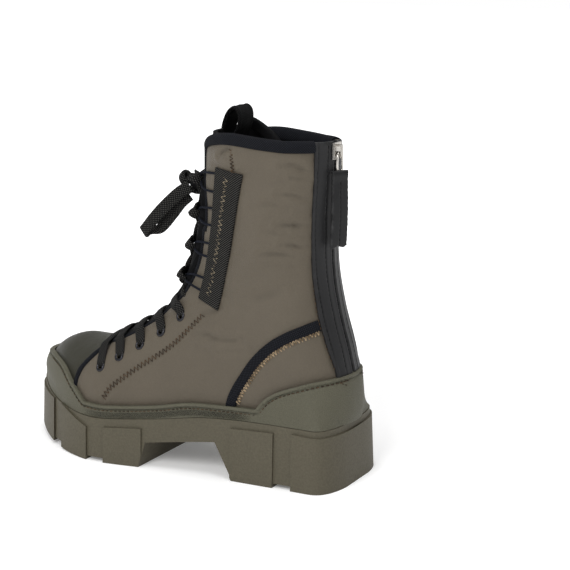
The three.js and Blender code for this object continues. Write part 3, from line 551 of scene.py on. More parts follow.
section_rows = [
    (0.9748, 0.03, 0.9748, -0.01, -0.137, 0.03, 0.5, 2, 2),
    (0.9675, 0.07, 0.9675, -0.03, -0.135, 0.088, 0.45, 2, 2.6),
    (0.9517, 0.109, 0.9517, -0.03, -0.128, 0.149, 0.42, 2, 3),
    (0.928, 0.149, 0.928, -0.03, -0.112, 0.211, 0.38, 2.05, 3.5),
    (0.8895, 0.19, 0.8895, -0.03, -0.084, 0.282, 0.34, 2.1, 4),
    (0.8412, 0.222, 0.8412, -0.03, -0.049, 0.347, 0.32, 2.15, 4.5),
    (0.7791, 0.236, 0.7791, -0.03, -0.007, 0.405, 0.3, 2.2, 5),
    (0.7169, 0.256, 0.7169, -0.03, 0.023, 0.437, 0.28, 2.15, 5),
    (0.6548, 0.295, 0.6548, -0.03, 0.034, 0.443, 0.27, 2.1, 5),
    (0.5858, 0.34, 0.5858, -0.03, 0.031, 0.42, 0.26, 2.05, 5),
    (0.531, 0.388, 0.497, -0.03, 0.026, 0.398, 0.26, 2, 5),
    (0.493, 0.448, 0.3757, -0.03, 0.015, 0.378, 0.28, 2, 4.5),
    (0.4699, 0.518, 0.2277, -0.03, 0.005, 0.366, 0.32, 2, 4),
    (0.4561, 0.587, 0.0995, -0.03, 0.0, 0.358, 0.36, 2, 3.4),
    (0.4457, 0.65, 0.0226, -0.014, 0.0, 0.35, 0.4, 2.05, 2.7),
    (0.4384, 0.71, 0.0107, 0.103, 0.0, 0.341, 0.42, 2.1, 2.35),
    (0.432, 0.767, 0.0276, 0.2326, 0.0, 0.334, 0.44, 2.1, 2.25),
    (0.4264, 0.824, 0.0552, 0.372, 0.0, 0.332, 0.46, 2.15, 2.2),
    (0.4215, 0.886, 0.0759, 0.525, 0.0, 0.337, 0.48, 2.2, 2.2),
    (0.418, 0.952, 0.0799, 0.698, 0.0, 0.346, 0.5, 2.2, 2.2),
    (0.416, 1.024, 0.0749, 0.89, 0.0, 0.356, 0.5, 2.2, 2.2),
    (0.414, 1.12, 0.071, 1.1, 0.0, 0.364, 0.5, 2.2, 2.2),
]
section = spline([(i / (len(section_rows) - 1), *row) for i, row in enumerate(section_rows)])


# %% [markdown]
# From the table, any point of the form is found by two numbers: how far along the stack, and how
# far round the ring. Evenly spaced turns keep the faces of the mesh nearly square, which matters
# for bumps and for soft creases.

# %% points on the form
def form_points(at, turn):
    """Points of the upper's outer form: at runs from toe to collar, turn from the front outwards."""
    at, turn = np.broadcast_arrays(np.asarray(at, float), np.asarray(turn, float))
    flat = section(at.ravel()).T.reshape((9, *at.shape))
    front_x, front_up, back_x, back_up, centre, half, widest, front_power, back_power = flat
    front_x, back_x = front_x * sole_length, back_x * sole_length
    front_z = sole_top(front_x.ravel()).reshape(at.shape) + front_up * rise
    back_z = sole_top(back_x.ravel()).reshape(at.shape) + back_up * rise
    c, s = np.cos(turn), np.sin(turn)
    power = 2 / np.where(c > 0, front_power, back_power)
    share = np.abs(c) ** power
    end_x, end_z = np.where(c > 0, front_x, back_x), np.where(c > 0, front_z, back_z)
    mid_x, mid_z = back_x + (front_x - back_x) * widest, back_z + (front_z - back_z) * widest
    x, z = mid_x + (end_x - mid_x) * share, mid_z + (end_z - mid_z) * share
    y = ball_width * (centre + half * np.sign(s) * np.abs(s) ** power)
    return np.stack([x, y, z], -1)


def run_along(line):
    """The distance from a line's start to each of its points."""
    return np.concatenate([[0], np.linalg.norm(np.diff(line, axis=0), axis=1).cumsum()])


def run_round(rings):
    """The distance round each ring from its first point to each other one."""
    steps = np.linalg.norm(np.diff(rings, axis=1), axis=2)
    return np.concatenate([np.zeros((len(rings), 1)), steps.cumsum(1)], 1)


def even_turns(at, count):
    """For each ring, turns whose points lie evenly along either side of it."""
    fine = np.linspace(0, 2 * np.pi, 1441)
    points = form_points(at[:, None], fine[None, :])
    run = run_round(points)
    half = len(fine) // 2
    turns = np.empty((len(at), count))
    for i in range(len(at)):
        middle, whole = run[i, half], run[i, -1]
        targets = np.concatenate([
            np.linspace(0, middle, count // 2, endpoint=False),
            np.linspace(middle, whole, count // 2, endpoint=False),
        ])
        turns[i] = np.interp(targets, run[i], fine)
    return turns


def grid_normals(points):
    """Outward normals of a closed tube of rings."""
    along_it = np.gradient(points, axis=0)
    around = np.roll(points, -1, 1) - np.roll(points, 1, 1)
    normal = np.cross(around, along_it)
    return normal / np.maximum(np.linalg.norm(normal, axis=2, keepdims=True), 1e-9)


def to_frame(points):
    return (np.asarray(points, float).reshape(-1, 3) - (heel_centre, 0, 0)) * MM


# %% [markdown]
# These tools turn grids of points into closed meshes. A piece can be grown off the form by a length
# or by a function, and then cut to its outline with prisms, much as panels are cut from cloth with
# a knife. The cuts are Boolean modifiers with the manifold solver, which is fast on dense closed
# meshes.

# %% meshes from grids, and cuts
def make(name, points, faces, smooth=True, uv=None):
    """A mesh object from points in the part's millimetres."""
    mesh = bpy.data.meshes.new(name)
    flat = np.concatenate([np.asarray(face, int) for face in faces]) if len(faces) else []
    sizes = np.array([len(face) for face in faces])
    mesh.vertices.add(len(points))
    mesh.vertices.foreach_set("co", to_frame(points).astype(np.float32).ravel())
    mesh.loops.add(len(flat))
    mesh.loops.foreach_set("vertex_index", flat.astype(np.int32))
    mesh.polygons.add(len(sizes))
    mesh.polygons.foreach_set("loop_start", np.concatenate([[0], sizes.cumsum()[:-1]]).astype(np.int32))
    mesh.update(calc_edges=True)
    if uv is not None:
        layer = mesh.uv_layers.new(name="cloth")
        layer.data.foreach_set("uv", np.asarray(uv)[flat].astype(np.float32).ravel())
    mesh.validate()
    if smooth:
        mesh.shade_smooth()
    thing = bpy.data.objects.new(name, mesh)
    scene.collection.objects.link(thing)
    return thing


def tube(points, closed_ends=True):
    """Faces of rings of points joined along their length, outward side out."""
    rows, count = points.shape[:2]
    i, j = np.meshgrid(np.arange(rows - 1), np.arange(count), indexing="ij")
    k = (j + 1) % count
    quads = np.stack([i * count + j, i * count + k, (i + 1) * count + k, (i + 1) * count + j], -1)
    faces = list(quads.reshape(-1, 4))
    if closed_ends:
        faces.append(np.arange(count)[::-1])
        faces.append(np.arange(count) + (rows - 1) * count)
    return faces


def mend(thing, step):
    """Runs one bmesh step on a piece."""
    work = bmesh.new()
    work.from_mesh(thing.data)
    step(work)
    work.to_mesh(thing.data)
    work.free()
    return thing


def outwards(work):
    bmesh.ops.recalc_face_normals(work, faces=work.faces)
    if work.calc_volume(signed=True) < 0:
        bmesh.ops.reverse_faces(work, faces=work.faces)


def orient(thing):
    """Turns the faces of a closed piece outwards."""
    return mend(thing, outwards)


def raw_points(piece):
    """A piece's points in the frame's metres."""
    flat = np.zeros(len(piece.data.vertices) * 3, np.float32)
    piece.data.vertices.foreach_get("co", flat)
    return flat.reshape(-1, 3)


def in_part(corners):
    """Two corners of the frame in the part's millimetres."""
    return [np.array(corner) / MM + (heel_centre, 0, 0) for corner in corners]


def form(name, grow, rings=60, count=72, end=1.0):
    """The form grown along its normals by a length or by a function of the points."""
    at = np.linspace(0.0, end, rings)
    turns = even_turns(at, count)
    points = form_points(at[:, None], turns)
    normal = grid_normals(points)
    lift = grow(points, normal) if callable(grow) else np.full(points.shape[:2], grow)
    grown = points + normal * lift[..., None]
    grown[0, :, 0] += lift.mean()
    run = run_round(points)
    length = run_along(points.mean(1))
    uv = np.stack([run * MM, np.broadcast_to(length[:, None], run.shape) * MM], -1).reshape(-1, 2)
    return orient(make(name, grown.reshape(-1, 3), tube(grown), uv=uv))


def prism(axis, outline, low, high):
    """A prism whose outline lies across an axis: y takes (x, z) and z takes (x, y)."""
    outline = np.asarray(outline, float)
    count = len(outline)
    place = {"y": (0, 2, 1), "z": (0, 1, 2)}[axis]
    points = np.zeros((2, count, 3))
    for level, value in enumerate((low, high)):
        points[level, :, place[0]], points[level, :, place[1]] = outline.T
        points[level, :, place[2]] = value
    return orient(make("cutter", points.reshape(-1, 3), tube(points), smooth=False))


def block(x0, x1, y0, y1, z0, z1):
    return prism("z", [(x0, y0), (x1, y0), (x1, y1), (x0, y1)], z0, z1)


def combine(piece, *steps):
    """Cuts or joins a piece with others in turn, which are then gone."""
    for how, other in steps:
        modifier = piece.modifiers.new("step", "BOOLEAN")
        modifier.operation, modifier.object, modifier.solver = how, other, "MANIFOLD"
        evaluated = piece.evaluated_get(bpy.context.evaluated_depsgraph_get())
        mesh = bpy.data.meshes.new_from_object(evaluated)
        piece.modifiers.clear()
        old, piece.data = piece.data, mesh
        bpy.data.meshes.remove(old)
        bpy.data.objects.remove(other)
    print(piece.name, len(piece.data.vertices), "points")
    return piece


CUT, KEEP, JOIN = "DIFFERENCE", "INTERSECT", "UNION"


# %% [markdown]
# Every seam of the boot is a line in the side view, given by a few places and made smooth. The same
# lines serve to cut the panels, to sink the padding along the seams and to lay the stitches, so
# they are named once here.

# %% lines and seams
def curve(points, per=8, corners=()):
    """A smooth line through points, sharp at the given ones."""
    points = np.asarray(points, float)
    stops = [0, *corners, len(points) - 1]
    made = []
    for first, last in zip(stops, stops[1:]):
        part = points[first : last + 1]
        if len(part) < 3:
            made.append(part[:-1])
            continue
        run = run_along(part)
        smooth = spline(np.column_stack([run, part]))
        made.append(smooth(np.linspace(0, run[-1], (len(part) - 1) * per + 1))[:-1])
    return np.concatenate([*made, points[-1:]])


def resample(line, step):
    line = np.asarray(line, float)
    run = run_along(line)
    count = max(2, int(round(run[-1] / step)) + 1)
    places = np.linspace(0, run[-1], count)
    return np.stack([np.interp(places, run, line[:, k]) for k in range(line.shape[1])], 1)


def side_line(rows):
    """Shares of the length and of the rise above the sole's top, as a side view in millimetres."""
    rows = np.array(rows)
    x = rows[:, 0] * sole_length
    return np.column_stack([x, sole_top(x) + rows[:, 1] * rise])


def side_points(rows):
    rows = np.array(rows)
    return np.column_stack([rows[:, 0] * sole_length, heel_height + rows[:, 1] * rise])


def above(line, lift=0.0):
    line = np.asarray(line) + (0, lift)
    return prism("y", [*line, (line[-1][0], far), (line[0][0], far)], -200, 200)


def distance_to(line, points):
    """How far side-view points are from a side-view line."""
    line, flat = np.asarray(line, float), points.reshape(-1, 2)
    best = np.full(len(flat), np.inf)
    for a, b in zip(line[:-1], line[1:]):
        run = b - a
        t = np.clip(((flat - a) @ run) / max(run @ run, 1e-9), 0, 1)
        best = np.minimum(best, np.linalg.norm(flat - (a + t[:, None] * run), axis=1))
    return best.reshape(points.shape[:-1])


collar_line = curve(side_points([
    (-0.0849, 0.988), (0.1518, 0.988), (0.2208, 0.996), (0.2899, 1.004), (0.3392, 0.999),
    (0.3786, 0.985), (0.4082, 0.955), (0.6055, 0.72),
]), corners=(1, 6))
quarter_front = curve(side_line([
    (0.7584, 0.03), (0.7544, 0.115), (0.7445, 0.16), (0.7288, 0.19), (0.713, 0.22), (0.6942, 0.25),
    (0.6647, 0.4),
]))
throat = spline([
    (0.2899, 1.12), (0.393, 1.12), (0.4041, 1.02), (0.4589, 1.08), (0.5137, 1.03), (0.5685, 1.2),
    (0.6233, 1.38), (0.6644, 1.42), (0.6849, 1.25), (0.6972, 0.9), (0.7041, 0.4),
])
rand_rows = side_line([
    (-0.0849, 0.178), (0.0137, 0.176), (0.0679, 0.165), (0.1222, 0.141), (0.1666, 0.115),
    (0.1972, 0.084), (0.2188, 0.048), (0.3096, 0.05), (0.4082, 0.057), (0.497, 0.052),
    (0.5858, 0.05), (0.6647, 0.05), (0.714, 0.052), (0.7554, 0.094), (0.8195, 0.139),
    (0.8994, 0.135), (0.9507, 0.11), (1.0986, 0.1),
])
rand_top = curve(rand_rows, corners=(6, 12))
rand_z = lambda x: np.interp(x, rand_top[:, 0], rand_top[:, 1])
heel_band_top = curve(side_points([
    (0.04, 0.389), (0.0747, 0.377), (0.1079, 0.3573), (0.1438, 0.3333), (0.1887, 0.2916),
    (0.2329, 0.2307), (0.2658, 0.164), (0.2908, 0.105), (0.3051, 0.0508), (0.309, 0),
]))
zigzag_line = curve(np.array([
    (187.7, 46.7), (186.9, 50.7), (181.9, 58.3), (170.8, 67.8), (158.5, 77.2), (144.2, 86.9),
    (133.2, 95.4), (121.7, 107), (111.4, 117.8), (104.1, 126),
]) + (4, 0))
strip_corners = side_points([(0.3438, 0.888), (0.2572, 0.8734), (0.3408, 0.3789), (0.4075, 0.4082)])


def above_collar(lift=0.0):
    """What lies above the collar, which falls a little to the inner side."""
    piece = above(collar_line, lift)
    points = raw_points(piece)
    points[:, 2] += collar_tilt * (points[:, 1] - ball_width * 0.34 * MM)
    piece.data.vertices.foreach_set("co", points.ravel())
    return piece


def throat_plan(more=0.0):
    at = np.concatenate([[0.2899], np.linspace(0.393, 0.7041, 60)])
    x, half = at * sole_length + more, throat(at)[:, 0] * throat_half + more
    return np.concatenate([np.column_stack([x, half]), np.column_stack([x, -half])[::-1]])


def throat_cut(more=0.0):
    return prism("z", throat_plan(more), collar_height * 0.3, far)


def quarter_cut(shift=0.0):
    line = quarter_front + (shift, 0)
    return prism("y", [*line, (380, far), (380, 0), (line[0][0], 0)], -200, 200)


# %% [markdown]
# Stitches, strips and cords must lie on the curved upper. A search tree over the form's skin
# answers two questions: where is the skin at this height on this side, and what is the nearest
# point of it. Sweeping a profile along a laid line then makes bindings, laces and webbing, and a
# short bent tube makes one stitch.

# %% the form's skin, for placing things on it
skin_at = np.linspace(0, 1, 330)
skin_points = form_points(skin_at[:, None], even_turns(skin_at, 240))
skin_normals = grid_normals(skin_points)
skin_tree = BVHTree.FromPolygons(
    [Vector(p) for p in skin_points.reshape(-1, 3)],
    [tuple(int(v) for v in face) for face in tube(skin_points, False)],
)
skin_flat = skin_points.reshape(-1, 3)
skin_flat_normals = skin_normals.reshape(-1, 3)
skin_faces = np.array(tube(skin_points, False))


def normal_at(index, place):
    corners = skin_faces[index]
    weight = 1 / (np.linalg.norm(skin_flat[corners] - np.array(place), axis=1) + 1e-3) ** 2
    normal = (skin_flat_normals[corners] * weight[:, None]).sum(0)
    return normal / np.linalg.norm(normal)


def on_side(x, z, side):
    """The skin's point and normal seen from the side at (x, z)."""
    place, _, index, _ = skin_tree.ray_cast(Vector((x, side * 200, z)), Vector((0, -side, 0)))
    if place is None:
        place, _, index, _ = skin_tree.find_nearest(Vector((x, side * 20, z)))
    return np.array(place), normal_at(index, place)


def nearest(point):
    place, _, index, _ = skin_tree.find_nearest(Vector(point))
    return np.array(place), normal_at(index, place)


def split(found):
    """Points and normals from a list, or from rows, of (point, normal) pairs."""
    found = np.array(found)
    return found[..., 0, :].copy(), found[..., 1, :].copy()


def side_path(line, side, step=1.0):
    """A side-view line laid on the skin: its points and normals."""
    return split([on_side(x, z, side) for x, z in resample(line, step)])


def soften(values, times=2):
    """Evens out a row of points or directions, and keeps its two ends."""
    for _ in range(times):
        ends = values[0].copy(), values[-1].copy()
        values = (np.roll(values, 1, 0) + values * 2 + np.roll(values, -1, 0)) / 4
        values[0], values[-1] = ends
    return values


def unit(vectors):
    return vectors / np.maximum(np.linalg.norm(vectors, axis=-1, keepdims=True), 1e-9)


def underside(line):
    """Unit steps to the lower side of a side-view line, one for each of its points."""
    tangent = unit(np.gradient(line, axis=0))
    return np.column_stack([tangent[:, 1], -tangent[:, 0]])


def carried(name, path, profile, aside, out, wide=1.0, closed_ends=True):
    """A closed profile of (aside, out) pairs set at each place of a path, with its cloth map."""
    widths = profile[None, :, 0] * np.broadcast_to(wide, len(path))[:, None]
    heights = np.broadcast_to(profile[None, :, 1], widths.shape)
    points = path[:, None] + aside[:, None] * widths[..., None] + out[:, None] * heights[..., None]
    round_it, run = run_along(profile), run_along(path)
    uv = np.stack(np.broadcast_arrays(round_it[None, :], run[:, None]), -1) * MM
    return orient(make(name, points.reshape(-1, 3), tube(points, closed_ends), uv=uv.reshape(-1, 2)))


def sweep(name, path, normals, profile, closed_ends=True):
    """A profile carried along a path over its normals."""
    path, normals = np.asarray(path), unit(np.asarray(normals))
    tangent = unit(np.gradient(path, axis=0))
    aside = unit(np.cross(tangent, normals))
    out = unit(np.cross(aside, tangent))
    return carried(name, path, np.asarray(profile, float), aside, out, closed_ends=closed_ends)


def joined(name, things):
    """Several pieces as one object."""
    vertices, faces, coords, first = [], [], [], 0
    for thing in things:
        mesh = thing.data
        co = raw_points(thing) / MM + (heel_centre, 0, 0)
        uv = np.zeros((len(co), 2))
        if mesh.uv_layers:
            loops = np.zeros(len(mesh.loops), np.int32)
            mesh.loops.foreach_get("vertex_index", loops)
            flat = np.zeros(len(mesh.loops) * 2, np.float32)
            mesh.uv_layers[0].data.foreach_get("uv", flat)
            uv[loops] = flat.reshape(-1, 2)
        vertices.append(co)
        coords.append(uv)
        faces += [np.array(polygon.vertices) + first for polygon in mesh.polygons]
        first += len(co)
        bpy.data.objects.remove(thing)
        bpy.data.meshes.remove(mesh)
    return make(name, np.concatenate(vertices), faces, uv=np.concatenate(coords))


def dress(piece, look, body="boot", sharp=None):
    piece.data.materials.clear()
    piece.data.materials.append(look)
    if sharp is not None:
        piece.data.set_sharp_from_angle(angle=math.radians(sharp))
    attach(piece, body)
    return piece


def rounded(width, height, bulge=0.5, count=5):
    """A closed flat profile with rounded ends, width across and height through."""
    angle = np.linspace(0, 2 * np.pi, 4 * count, endpoint=False)
    c, s = np.cos(angle), np.sin(angle)
    return np.column_stack([
        np.sign(c) * np.abs(c) ** bulge * width / 2, np.sign(s) * np.abs(s) ** (bulge * 1.4) * height / 2,
    ])


def circle(radius, count=8):
    angle = np.linspace(0, 2 * np.pi, count, endpoint=False)
    return np.column_stack([np.cos(angle), np.sin(angle)]) * radius


def stitch(a, b, normal, radius=0.32, lift=0.25):
    """One thread stitch between two points, dipping into the cloth at either end."""
    t = np.linspace(0, 1, 6)[:, None]
    path = a + (b - a) * t + normal * (lift * np.sin(np.pi * t) - 0.12)
    angle = np.linspace(0, 2 * np.pi, 6, endpoint=False)
    tangent = unit(b - a)
    aside = unit(np.cross(tangent, normal))
    out = np.cross(aside, tangent)
    ring = (aside * np.cos(angle)[:, None] + out * np.sin(angle)[:, None]) * radius
    return path[:, None] + ring[None]


def stitches(name, pairs, look, radius=0.32, lift=0.25):
    """Many stitches as one object."""
    points, faces, first = [], [], 0
    for a, b, normal in pairs:
        grid = stitch(a, b, normal, radius, lift)
        faces += [face + first for face in tube(grid)]
        points.append(grid.reshape(-1, 3))
        first += grid.shape[0] * grid.shape[1]
    flat = np.concatenate(points)
    return dress(make(name, flat, faces, uv=flat[:, :2] * MM), look)


def at_run(distance, run, field):
    """The value of a field of points or directions at a distance along its path."""
    return np.array([np.interp(distance, run, field[:, k]) for k in range(3)])


def running(path, normals, length, space, lift=0.0):
    """Straight stitches along a laid path."""
    run = run_along(path)
    found, at = [], space / 2
    while at + length < run[-1]:
        n = unit(at_run(at + length / 2, run, normals))
        start, stop = at_run(at, run, path), at_run(at + length, run, path)
        found.append((start + n * lift, stop + n * lift, n))
        at += length + space
    return found


def zigzags(path, normals, width, pitch, lift=0.0):
    """Stitches that go from side to side along a laid path."""
    run = run_along(path)
    tangent = unit(np.gradient(path, axis=0))
    ends, side = [], 1
    for at in np.arange(pitch, run[-1] - pitch, pitch):
        n, t = unit(at_run(at, run, normals)), unit(at_run(at, run, tangent))
        ends.append((at_run(at, run, path) + np.cross(t, n) * side * width / 2 + n * lift, n))
        side = -side
    return [(a, b, n) for (a, n), (b, _) in zip(ends, ends[1:])]


print("tools ready")

# %% [markdown]
# The bow hangs free from its knot, so each loop is a cord of the frame: it says where it starts,
# how long it is and that it hangs limp. The lace is flat, about ten millimetres wide. The loop's
# path follows the folds that the photograph shows, and the ribbon's flat side is kept facing
# outwards by giving the sweep its normals.

# %% the bow, whose loops are free cords
cord_rises = [(0.466, 4.5), (0.586, 5.0), (0.706, 6.5), (0.832, 7.0)]
knot_low, knot_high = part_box("bow_knot")
knot = (np.array(knot_low) + np.array(knot_high)) / 2 / MM + (heel_centre, 0, 0)


bow_length, lace_width, lace_thickness = 50.0, 9.8, 2.4
bow_folds = {
    "outer": [
        (0.03, 0.184, -0.03), (0.14, 0.24, -0.1), (0.27, 0.27, -0.21), (0.46, 0.29, -0.39),
        (0.65, 0.3, -0.59),
        (0.79, 0.285, -0.745), (0.83, 0.235, -0.79), (0.77, 0.185, -0.775), (0.59, 0.17, -0.71),
        (0.35, 0.172, -0.46), (0.2, 0.165, -0.28), (0.08, 0.13, -0.17),
    ],
    "inner": [
        (0.06, 0.175, -0.02), (0.08, 0.33, -0.1), (0.07, 0.43, -0.3), (0.06, 0.47, -0.54),
        (0.05, 0.47, -0.72),
        (0, 0.46, -0.78), (-0.05, 0.46, -0.71), (-0.04, 0.45, -0.52), (-0.02, 0.4, -0.32),
        (-0.01, 0.3, -0.17),
        (0, 0.17, -0.14),
    ],
}


def bow_loop(word, side, facing):
    name = f"bow_loop_{word}"
    places = np.array([(f, side * o, u) for f, o, u in bow_folds[word]]) * bow_length + knot
    widthwise = unit(np.cross(places[len(places) // 2] - places[0], facing))
    face = unit(np.cross(widthwise, np.gradient(places, axis=0)))
    path, face = curve(places), soften(unit(curve(face)))
    piece = sweep(name, path, face, rounded(lace_width, lace_thickness))
    dress(piece, lace_fabric)
    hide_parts(name)


bow_loop("outer", 1, (0, 1, 0))
bow_loop("inner", -1, (1, 0, 0))

# %% [markdown]
# The quarters are padded nylon. On the real boot foam is laid under the cloth and flattened where
# it is sewn. So the skin stands off the form in the open and sinks to it at every seam, and each
# main crease is listed: a soft trough with a lower ridge beside it, given by a line, a depth and a
# width. A cloth simulation could not put the creases where they are, so the shape is set directly.

# %% quarters
strip_edge = np.vstack([strip_corners, strip_corners[:1]])
seams = [rand_top, quarter_front, zigzag_line, heel_band_top, strip_edge]
creases = [
    # side, line of (x, z) from the frame's origin, depth, width
    (1, [(-21, 236.7), (-25, 237.4), (-30, 236), (-33, 233.7), (-35, 230.6)], 0.9, 2.0),
    (1, [(-27, 228.4), (-31, 227.6), (-35, 225.7)], 0.8, 1.7),
    (1, [(-28.8, 221.5), (-33, 220.4)], 0.5, 1.6),
    (1, [(-18, 216), (-26, 215.8), (-30.5, 214.7), (-34, 212.8)], 0.8, 1.9),
    (1, [(-17, 193.6), (-26, 193.7), (-34, 193.1)], 0.9, 1.8),
    (1, [(-8, 189.2), (-15.6, 188.5), (-20.6, 186.9)], 0.4, 2.4),
    (1, [(-20, 179.6), (-26, 179.2), (-29.1, 178.1), (-34, 177.5)], 0.9, 1.9),
    (1, [(-5, 172), (-15.5, 172.8), (-26, 172.5)], 0.6, 2.0),
    (1, [(20, 248), (26, 244.7), (31, 240.5)], 0.8, 1.6),
    (1, [(41, 104), (29.8, 104.3), (20.4, 104.8), (11, 106)], 0.8, 2.4),
    (1, [(52, 106.4), (42.4, 106.7), (33, 107.7)], 0.5, 2.2),
    (1, [(45, 121.8), (39, 124.3), (32, 129)], 0.6, 2.2),
    (1, [(0, 206.5), (-11.5, 208.6), (-21, 207.7)], 0.4, 3.0),
    (1, [(29, 98.2), (15.6, 98.8), (4, 101)], 0.5, 2.6),
    (1, [(8, 136), (-10, 141.8), (-24, 147.5)], 0.6, 4.5),
    (1, [(14, 150), (2, 164), (-2, 186), (0, 214)], -0.7, 9.0),
    (-1, [(-17, 226), (-26, 227), (-34, 225)], 0.8, 1.8),
    (-1, [(-12, 207), (-24, 208.5), (-34, 206)], 0.8, 2.0),
    (-1, [(-18, 187), (-27, 187.6), (-34, 186)], 0.7, 1.8),
    (-1, [(-6, 168), (-18, 169), (-30, 167)], 0.6, 2.2),
    (-1, [(42, 105), (28, 104), (10, 107)], 0.8, 2.4),
    (-1, [(46, 120), (36, 125), (28, 131)], 0.6, 2.2),
    (-1, [(20, 247), (27, 243), (31, 239)], 0.7, 1.6),
]


def stay_half(z):
    """Half the width of the two stays beside the zip together, at a height."""
    heights = [87, 104, 122, 140, 169, 198, 227, 255]
    return np.interp(z, heights, [17.8, 20.2, 20.8, 20.2, 19.4, 19.1, 19.2, 19.6])


def collar_z(x, y):
    return np.interp(x, collar_line[:, 0], collar_line[:, 1]) + collar_tilt * (y - ball_width * 0.34)


def inside(outline, points):
    """Which side-view points lie inside an outline."""
    found = np.zeros(points.shape[:-1], bool)
    for (x0, z0), (x1, z1) in zip(outline, np.roll(outline, -1, 0)):
        crosses = (z0 > points[..., 1]) != (z1 > points[..., 1])
        found ^= crosses & (points[..., 0] < (x1 - x0) * (points[..., 1] - z0) / (z1 - z0 + 1e-12) + x0)
    return found


def padding(points, normal):
    """How far the padded cloth stands off the form: low at seams, with creases."""
    side_view = points[..., [0, 2]]
    nearest_seam = np.full(points.shape[:2], np.inf)
    for line in seams:
        sparse = line[::2] if len(line) > 60 else line
        nearest_seam = np.minimum(nearest_seam, distance_to(sparse, side_view))
    at_back = points[..., 0] < 40
    back = np.clip(np.abs(points[..., 1]) - stay_half(points[..., 2]), 0, None)
    nearest_seam = np.where(at_back, np.minimum(nearest_seam, back), nearest_seam)
    nearest_seam = np.where(inside(strip_corners, side_view), 0, nearest_seam)
    rim = collar_z(points[..., 0], points[..., 1]) - points[..., 2]
    nearest_seam = np.minimum(nearest_seam, np.clip(rim - 5.5, 0, None))
    lift = 1.15 * (1 - np.exp(-nearest_seam / 5.5)) - 0.45
    pucker = np.exp(-((nearest_seam / 5.0) ** 2)) * 0.12
    phase = side_view[..., 0] * 0.9 + side_view[..., 1] * 1.1
    lift = lift + pucker * np.sin(phase) * np.sin(phase * 0.37 + 1.3)
    wide = np.sin(points[..., 2] * 0.19 + np.sin(points[..., 0] * 0.061) * 2.1) * np.sin(
        points[..., 0] * 0.083 + points[..., 1] * 0.05 + points[..., 2] * 0.031
    )
    lift = lift + wide * 0.22 * np.clip(nearest_seam / 8, 0, 1)
    for side, line, depth, width in creases:
        line = curve(np.array(line, float) + (heel_centre, 0), 4)
        away = distance_to(line, side_view)
        ends = np.minimum(
            np.linalg.norm(side_view - line[0], axis=-1), np.linalg.norm(side_view - line[-1], axis=-1)
        )
        fade = np.clip(ends / (width * 2.5), 0, 1)
        near = points[..., 1] * side > 3
        ridge = np.exp(-(((away - width * 2.2) / (width * 1.2)) ** 2))
        trough = np.exp(-((away / width) ** 2)) - 0.45 * ridge
        lift = lift - depth * 1.5 * trough * fade * near
    return lift


# %% [markdown]
# The dense skin is now cut: hollowed, trimmed at the rand, the collar and the lace opening, and
# slit for the zip. The toe piece is the same form drawn tighter, since the nylon over the toe is
# stretched with no padding. A thin black lining closes the inside.

# %% cutting the panels
def zip_cut():
    """The slit for the zip at the back."""
    return block(-60, 58, -zip_slot, zip_slot, heel_height + 0.225 * rise, far)


def bed_line(steps=40):
    """The sole's top in the side view, a clearance higher."""
    x = np.linspace(-29, 320, steps)
    return np.column_stack([x, sole_top(x) + gap])


quarters = form("quarters", padding, rings=330, count=230)
combine(
    quarters,
    (CUT, form("core", -3.0)),
    (CUT, quarter_cut()),
    (KEEP, above(rand_top, -6)),
    (CUT, above_collar(0.2)),
    (CUT, throat_cut(0.4)),
    (CUT, zip_cut()),
)
dress(quarters, nylon, sharp=50)
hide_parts("upper")

toe_piece = form("toe_piece", -0.9, rings=150, count=160, end=0.52)
combine(
    toe_piece,
    (CUT, form("core", -4.0, end=0.55)),
    (KEEP, quarter_cut(-9)),
    (KEEP, above(rand_top, -6)),
    (CUT, throat_cut()),
)
dress(toe_piece, toe_fabric, sharp=50)

lining = form("lining", -3.1)
combine(
    lining,
    (CUT, form("core", -pad_wall)),
    (KEEP, above(bed_line())),
    (CUT, above_collar(-1)),
    (CUT, throat_cut(0.5)),
    (CUT, zip_cut()),
)
dress(lining, lining_fabric, sharp=50)

# %% [markdown]
# The rand is the moulded rubber that wraps the foot of the upper: a bumper at the toe, a low band
# at the sides and a counter at the heel. Its top edge is a small bead with a row of stitches under
# it. At the bottom it spreads to meet the sole's edge flush, which is done by leading its points
# outwards on the plan, more and more towards the sole.

# %% rand
def plan_ring(inset, z, steps=90):
    x = sole_length * (1 - np.cos(np.pi * np.arange(steps + 1) / steps)) / 2
    centre, half = sole_outline(x / sole_length)[:, 0] * ball_width, sole_half(x)
    ring = np.concatenate([
        np.column_stack([x, centre - half]), np.column_stack([x, centre + half])[1:-1][::-1]
    ])
    after, before = np.roll(ring, -1, 0), np.roll(ring, 1, 0)
    normal = unit(np.column_stack([(after - before)[:, 1], -(after - before)[:, 0]]))
    return np.column_stack([ring - normal * inset, np.full(len(ring), z)])


bead = 2.4


def rand_lift(points, normal):
    side_view = points[..., [0, 2]]
    down = distance_to(rand_top, side_view)
    below = side_view[..., 1] < rand_z(side_view[..., 0])
    down = np.where(below, down, 0)
    roll = 2.6 + 0.9 * np.sqrt(np.clip(1 - ((down - bead * 0.5) / (bead * 0.5)) ** 2, 0, 1))
    step = 1.6 + 1.2 * np.clip((down - bead) / 1.6, 0, 1)
    over = np.clip((down - bead + 0.4) / 1.0, 0, 1)
    lift = roll * (1 - over) + step * over
    return np.where(below, lift, 3.0)


